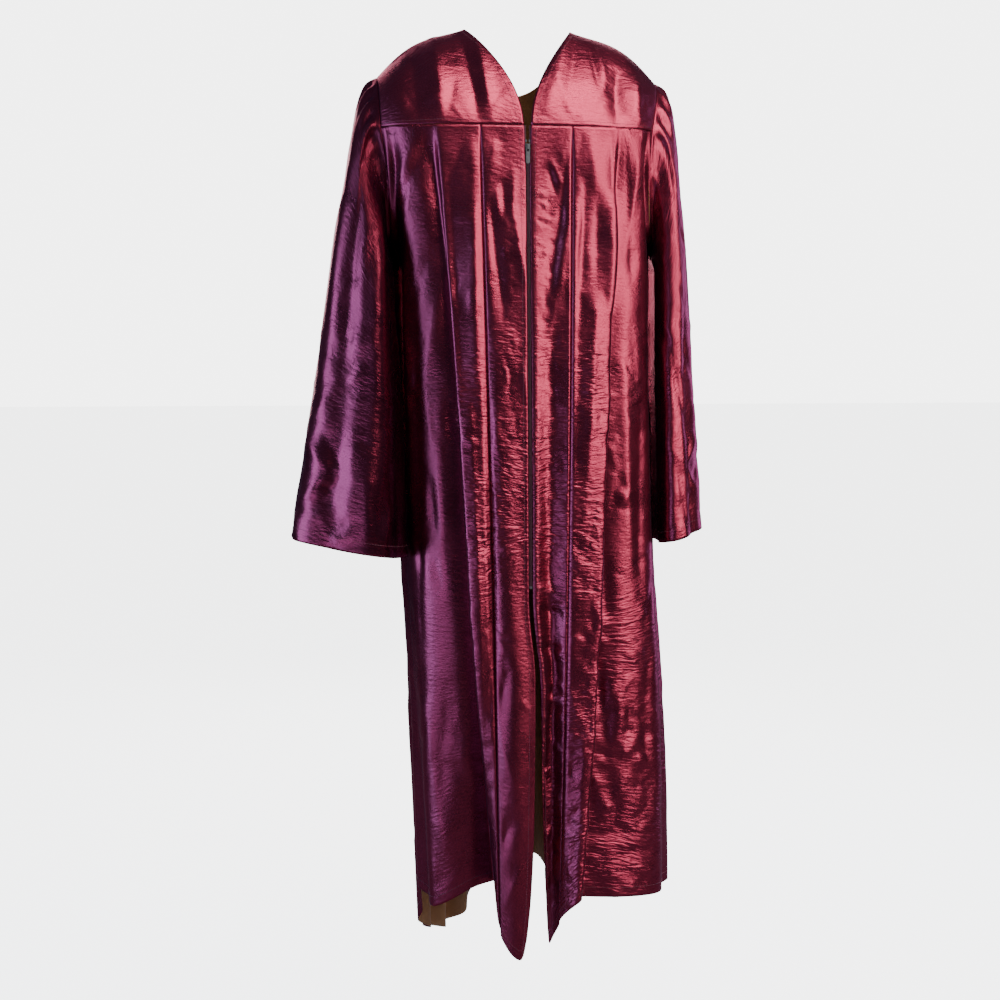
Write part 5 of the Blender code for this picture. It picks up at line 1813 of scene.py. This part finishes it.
SLEEVE_CREASES = {
    Side.LEFT: (
        Crease(0.028, -0.545, 0.062, -0.600, 0.008, 0.0036),
        Crease(0.062, -0.600, 0.028, -0.652, 0.008, 0.0034),
        Crease(0.028, -0.652, 0.044, -0.715, 0.008, 0.0026),
        Crease(0.046, -0.535, 0.078, -0.600, 0.009, -0.0032),
        Crease(0.078, -0.600, 0.048, -0.660, 0.009, -0.0030),
        Crease(0.086, -0.560, 0.104, -0.700, 0.012, 0.0036),
        Crease(0.115, -0.600, 0.100, -0.720, 0.009, -0.0032),
        Crease(0.128, -0.640, 0.108, -0.710, 0.006, 0.0024),
        Crease(0.036, -0.060, 0.044, -0.420, 0.016, 0.0034),
        Crease(0.074, -0.120, 0.062, -0.520, 0.018, -0.0040),
        Crease(0.112, -0.080, 0.104, -0.520, 0.016, 0.0044),
        Crease(0.166, -0.230, 0.170, -0.360, 0.014, 0.0044),
        Crease(-0.060, -0.160, -0.040, -0.460, 0.014, -0.0034),
        Crease(-0.100, -0.420, -0.070, -0.680, 0.014, 0.0036),
        Crease(-0.140, -0.300, -0.130, -0.620, 0.014, -0.0034),
    ),
    Side.RIGHT: (
        Crease(0.070, -0.100, 0.080, -0.240, 0.008, -0.0026),
        Crease(0.096, -0.080, 0.104, -0.260, 0.006, 0.0028),
        Crease(0.110, -0.400, 0.070, -0.560, 0.013, -0.0040),
        Crease(0.040, -0.555, 0.074, -0.600, 0.008, 0.0034),
        Crease(0.074, -0.600, 0.044, -0.640, 0.008, 0.0030),
        Crease(0.028, -0.575, 0.058, -0.625, 0.007, -0.0026),
        Crease(0.094, -0.590, 0.082, -0.700, 0.009, -0.0030),
        Crease(0.030, -0.150, 0.046, -0.420, 0.012, -0.0028),
        Crease(-0.050, -0.180, -0.060, -0.480, 0.014, -0.0034),
        Crease(-0.090, -0.380, -0.060, -0.660, 0.014, 0.0036),
        Crease(-0.140, -0.260, -0.120, -0.600, 0.014, -0.0034),
    ),
}
SLEEVE_CRUMPLES = {
    Side.LEFT: (
        Crumple((-0.180, -0.70), (0.180, -0.10), 190, 0.080, 0.0090, 0.0013, 88, 20, 51),
        Crumple((-0.180, -0.72), (0.140, -0.40), 120, 0.040, 0.0060, 0.0014, 10, 50, 52),
    ),
    Side.RIGHT: (
        Crumple((-0.180, -0.70), (0.180, -0.10), 170, 0.070, 0.0085, 0.0012, 92, 22, 53),
        Crumple((-0.180, -0.70), (0.160, -0.20), 170, 0.034, 0.0055, 0.0012, 6, 40, 54),
    ),
}


@dataclass(frozen=True)
class Light:
    """A soft area light that looks at the gown."""

    name: str
    place: tuple[float, float, float]
    target: tuple[float, float, float]
    size: tuple[float, float]
    power: float
    colour: tuple[float, float, float]
    spares: tuple[str, ...] = ()

    def build(self) -> None:
        """Adds the light, which leaves the spared pieces dark."""
        data = bpy.data.lights.new(self.name, "AREA")
        data.shape = "RECTANGLE"
        data.size, data.size_y = self.size
        data.energy = self.power
        data.color = self.colour
        light = bpy.data.objects.new(self.name, data)
        light.location = self.place
        way = Vector(self.target) - Vector(self.place)
        light.rotation_euler = way.to_track_quat("-Z", "Y").to_euler()
        bpy.context.scene.collection.objects.link(light)
        if self.spares:
            spared = bpy.data.collections.new("spared by " + self.name)
            light.light_linking.receiver_collection = spared
            for name in self.spares:
                spared.objects.link(bpy.data.objects[name])
            for entry in spared.collection_objects:
                entry.light_linking.link_state = "EXCLUDE"


@dataclass(frozen=True)
class Studio:
    """Camera, lights, world and floor."""

    eye: tuple[float, float, float] = (-0.29695654, -2.21233427, -0.42826217)
    turn: float = 7.0
    tilt: float = 5.787243
    lens: float = 53.28
    sensor: float = 36.0
    white: Colour = (1.0, 1.0, 1.0, 1.0)
    shown: float = 5.0
    dim: Colour = (0.40, 0.72, 1.0, 1.0)
    dim_strength: float = 0.085
    floor_height: float = -1.62
    floor_size: float = 60.0
    floor_colour: Colour = (0.9, 0.9, 0.9, 1.0)
    floor_roughness: float = 0.9
    floor_glow: float = 4.2
    floor_dark: Colour = (0.16, 0.16, 0.18, 1.0)
    lights: tuple[Light, ...] = (
        Light("key", (2.00, -1.75, 0.20), (0.0, 0.0, -0.6), (1.6, 2.3), 36.0, (1.0, 0.95, 0.95),
              ("cloth_sleeve_left",)),
        Light("lamp", (1.00, -2.20, 1.00), (0.0, 0.0, -0.4), (0.5, 0.6), 7.0, (1.0, 0.96, 0.96)),
        Light("top", (0.75, -1.05, 1.55), (0.0, 0.0, -0.05), (1.6, 1.3), 30.0, (1.0, 0.96, 0.95),
              ("cloth_sleeve_left",)),
        Light("sleeve", (0.9, -2.3, -0.3), (0.25, 0.0, -0.4), (0.7, 1.8), 7.0, (1.0, 0.95, 0.95),
              ("cloth_sleeve_left", "cloth_front_left", "cloth_front_right", "cloth_yoke_front_left",
               "cloth_yoke_front_right")),
        Light("left", (-2.4, -0.7, -0.6), (0.0, 0.0, -0.8), (1.4, 2.2), 41.0, (0.27, 0.60, 1.0)),
        Light("low left", (-1.5, -1.7, -1.15), (0.0, 0.0, -1.1), (1.1, 0.7), 6.0, (0.36, 0.54, 1.0)),
        Light("right back", (2.0, 1.3, -0.3), (0.0, 0.0, -0.7), (0.9, 2.0), 14.0, (0.40, 0.60, 1.0)),
        Light("back", (0.0, 2.7, 0.5), (0.0, 0.0, -0.6), (2.2, 2.2), 44.0, (1.0, 0.96, 0.95)),
    )

    def build(self) -> None:
        """Adds the camera, the lights, the world and the floor."""
        data = bpy.data.cameras.new("camera")
        data.lens = self.lens
        data.sensor_width = self.sensor
        data.sensor_fit = "AUTO"
        camera = bpy.data.objects.new("camera", data)
        camera.location = self.eye
        a, p = radians(self.turn), radians(self.tilt)
        way = Vector((sin(a) * cos(p), cos(a) * cos(p), -sin(p)))
        camera.rotation_euler = way.to_track_quat("-Z", "Y").to_euler()
        bpy.context.scene.collection.objects.link(camera)
        bpy.context.scene.camera = camera
        for light in self.lights:
            light.build()
        self.build_world()
        self.build_floor()

    def build_world(self) -> None:
        """A white surround that lights the cloth less than it shows."""
        world = bpy.data.worlds.new("studio")
        world.use_nodes = True
        bpy.context.scene.world = world
        tree = Tree(world.node_tree)
        nodes = world.node_tree.nodes
        background = nodes["Background"]
        dim = tree.add("ShaderNodeBackground", {"Color": self.dim, "Strength": self.dim_strength})
        tree.fill(background, {"Color": self.white, "Strength": self.shown})
        path = tree.add("ShaderNodeLightPath")
        mix = tree.add("ShaderNodeMixShader", {0: path.outputs["Is Camera Ray"], 1: dim.outputs[0],
                                               2: background.outputs[0]})
        tree.join(mix.outputs[0], nodes["World Output"].inputs["Surface"])

    def build_floor(self) -> None:
        """A plain pale floor below the gown."""
        half = self.floor_size / 2
        z = self.floor_height
        mesh = bpy.data.meshes.new("floor")
        corners = [(-half, -half, z), (half, -half, z), (half, half, z), (-half, half, z)]
        mesh.from_pydata(corners, [], [(0, 1, 2, 3)])
        material = bpy.data.materials.new("floor")
        material.use_nodes = True
        tree = Tree(material.node_tree)
        nodes = material.node_tree.nodes
        shader = nodes["Principled BSDF"]
        tree.fill(shader, {"Base Color": self.floor_colour, "Roughness": self.floor_roughness})
        glow = tree.add("ShaderNodeEmission", {"Color": self.white, "Strength": self.floor_glow})
        both = tree.add("ShaderNodeAddShader", {0: shader.outputs[0], 1: glow.outputs[0]})
        path = tree.add("ShaderNodeLightPath")
        dark = tree.add("ShaderNodeBsdfDiffuse", {"Color": self.floor_dark})
        mix = tree.add("ShaderNodeMixShader", {0: path.outputs["Is Camera Ray"], 1: dark.outputs[0],
                                               2: both.outputs[0]})
        tree.join(mix.outputs[0], nodes["Material Output"].inputs["Surface"])
        mesh.materials.append(material)
        floor = bpy.data.objects.new("floor", mesh)
        bpy.context.scene.collection.objects.link(floor)


def armhole_edges(yoke: ClothPiece, panel: ClothPiece, back: ClothPiece, back_yoke: ClothPiece, side: Side,
                  upper: tuple[int, int]) -> list[tuple[np.ndarray, np.ndarray]]:
    """Edges round an armhole, from the shoulder down the front and up the back.

    Args:
        yoke: the front yoke.
        panel: the front panel.
        back: the back panel.
        back_yoke: the back yoke.
        side: which armhole.
        upper: rows above the underarm in the front panel and in the back panel.

    Returns:
        Points and normals of the four edges.
    """
    edge = 0 if side is Side.LEFT else -1
    edges = []
    for piece, column, rows, upward in ((yoke, -1, None, False), (panel, -1, upper[0], False),
                                        (back, edge, upper[1], True), (back_yoke, edge, None, True)):
        normals = grid_normals(piece.grid, False, piece.flip)
        last = None if rows is None else rows + 1
        points = piece.grid[:last, column]
        leans = normals[:last, column]
        if upward:
            points, leans = points[::-1], leans[::-1]
        edges.append((points, leans))
    return edges


def main() -> None:
    """Builds the gown's cloth, its sewing and its zip, and the studio."""
    logging.basicConfig(level=logging.INFO, format="%(message)s")
    body = BodyOutline()
    back_maker = BackPanel(body)
    back = back_maker.piece()
    ends = {side: float(back_maker.half(side)[1][0, -1]) for side in Side}
    yokes = Yokes(body)
    back_yoke = yokes.back(ends)
    pieces = [(back, "back"), (back_yoke, "back_yoke")]
    for side in Side:
        maker = FrontPanel(side, body)
        panel = maker.piece()
        yoke = yokes.front(side, panel.across[0])
        edges = armhole_edges(yoke, panel, back, back_yoke, side, (maker.upper, back_maker.upper))
        pieces += [(panel, "front"), (yoke, "yoke"), (Sleeve(side, body).piece(edges), "sleeve")]
    sewing = Sewing()
    for piece, kind in pieces:
        piece.build()
        sewing.build(piece, kind)
    Zip().build()
    Studio().build()


if __name__ == "__main__":
    main()
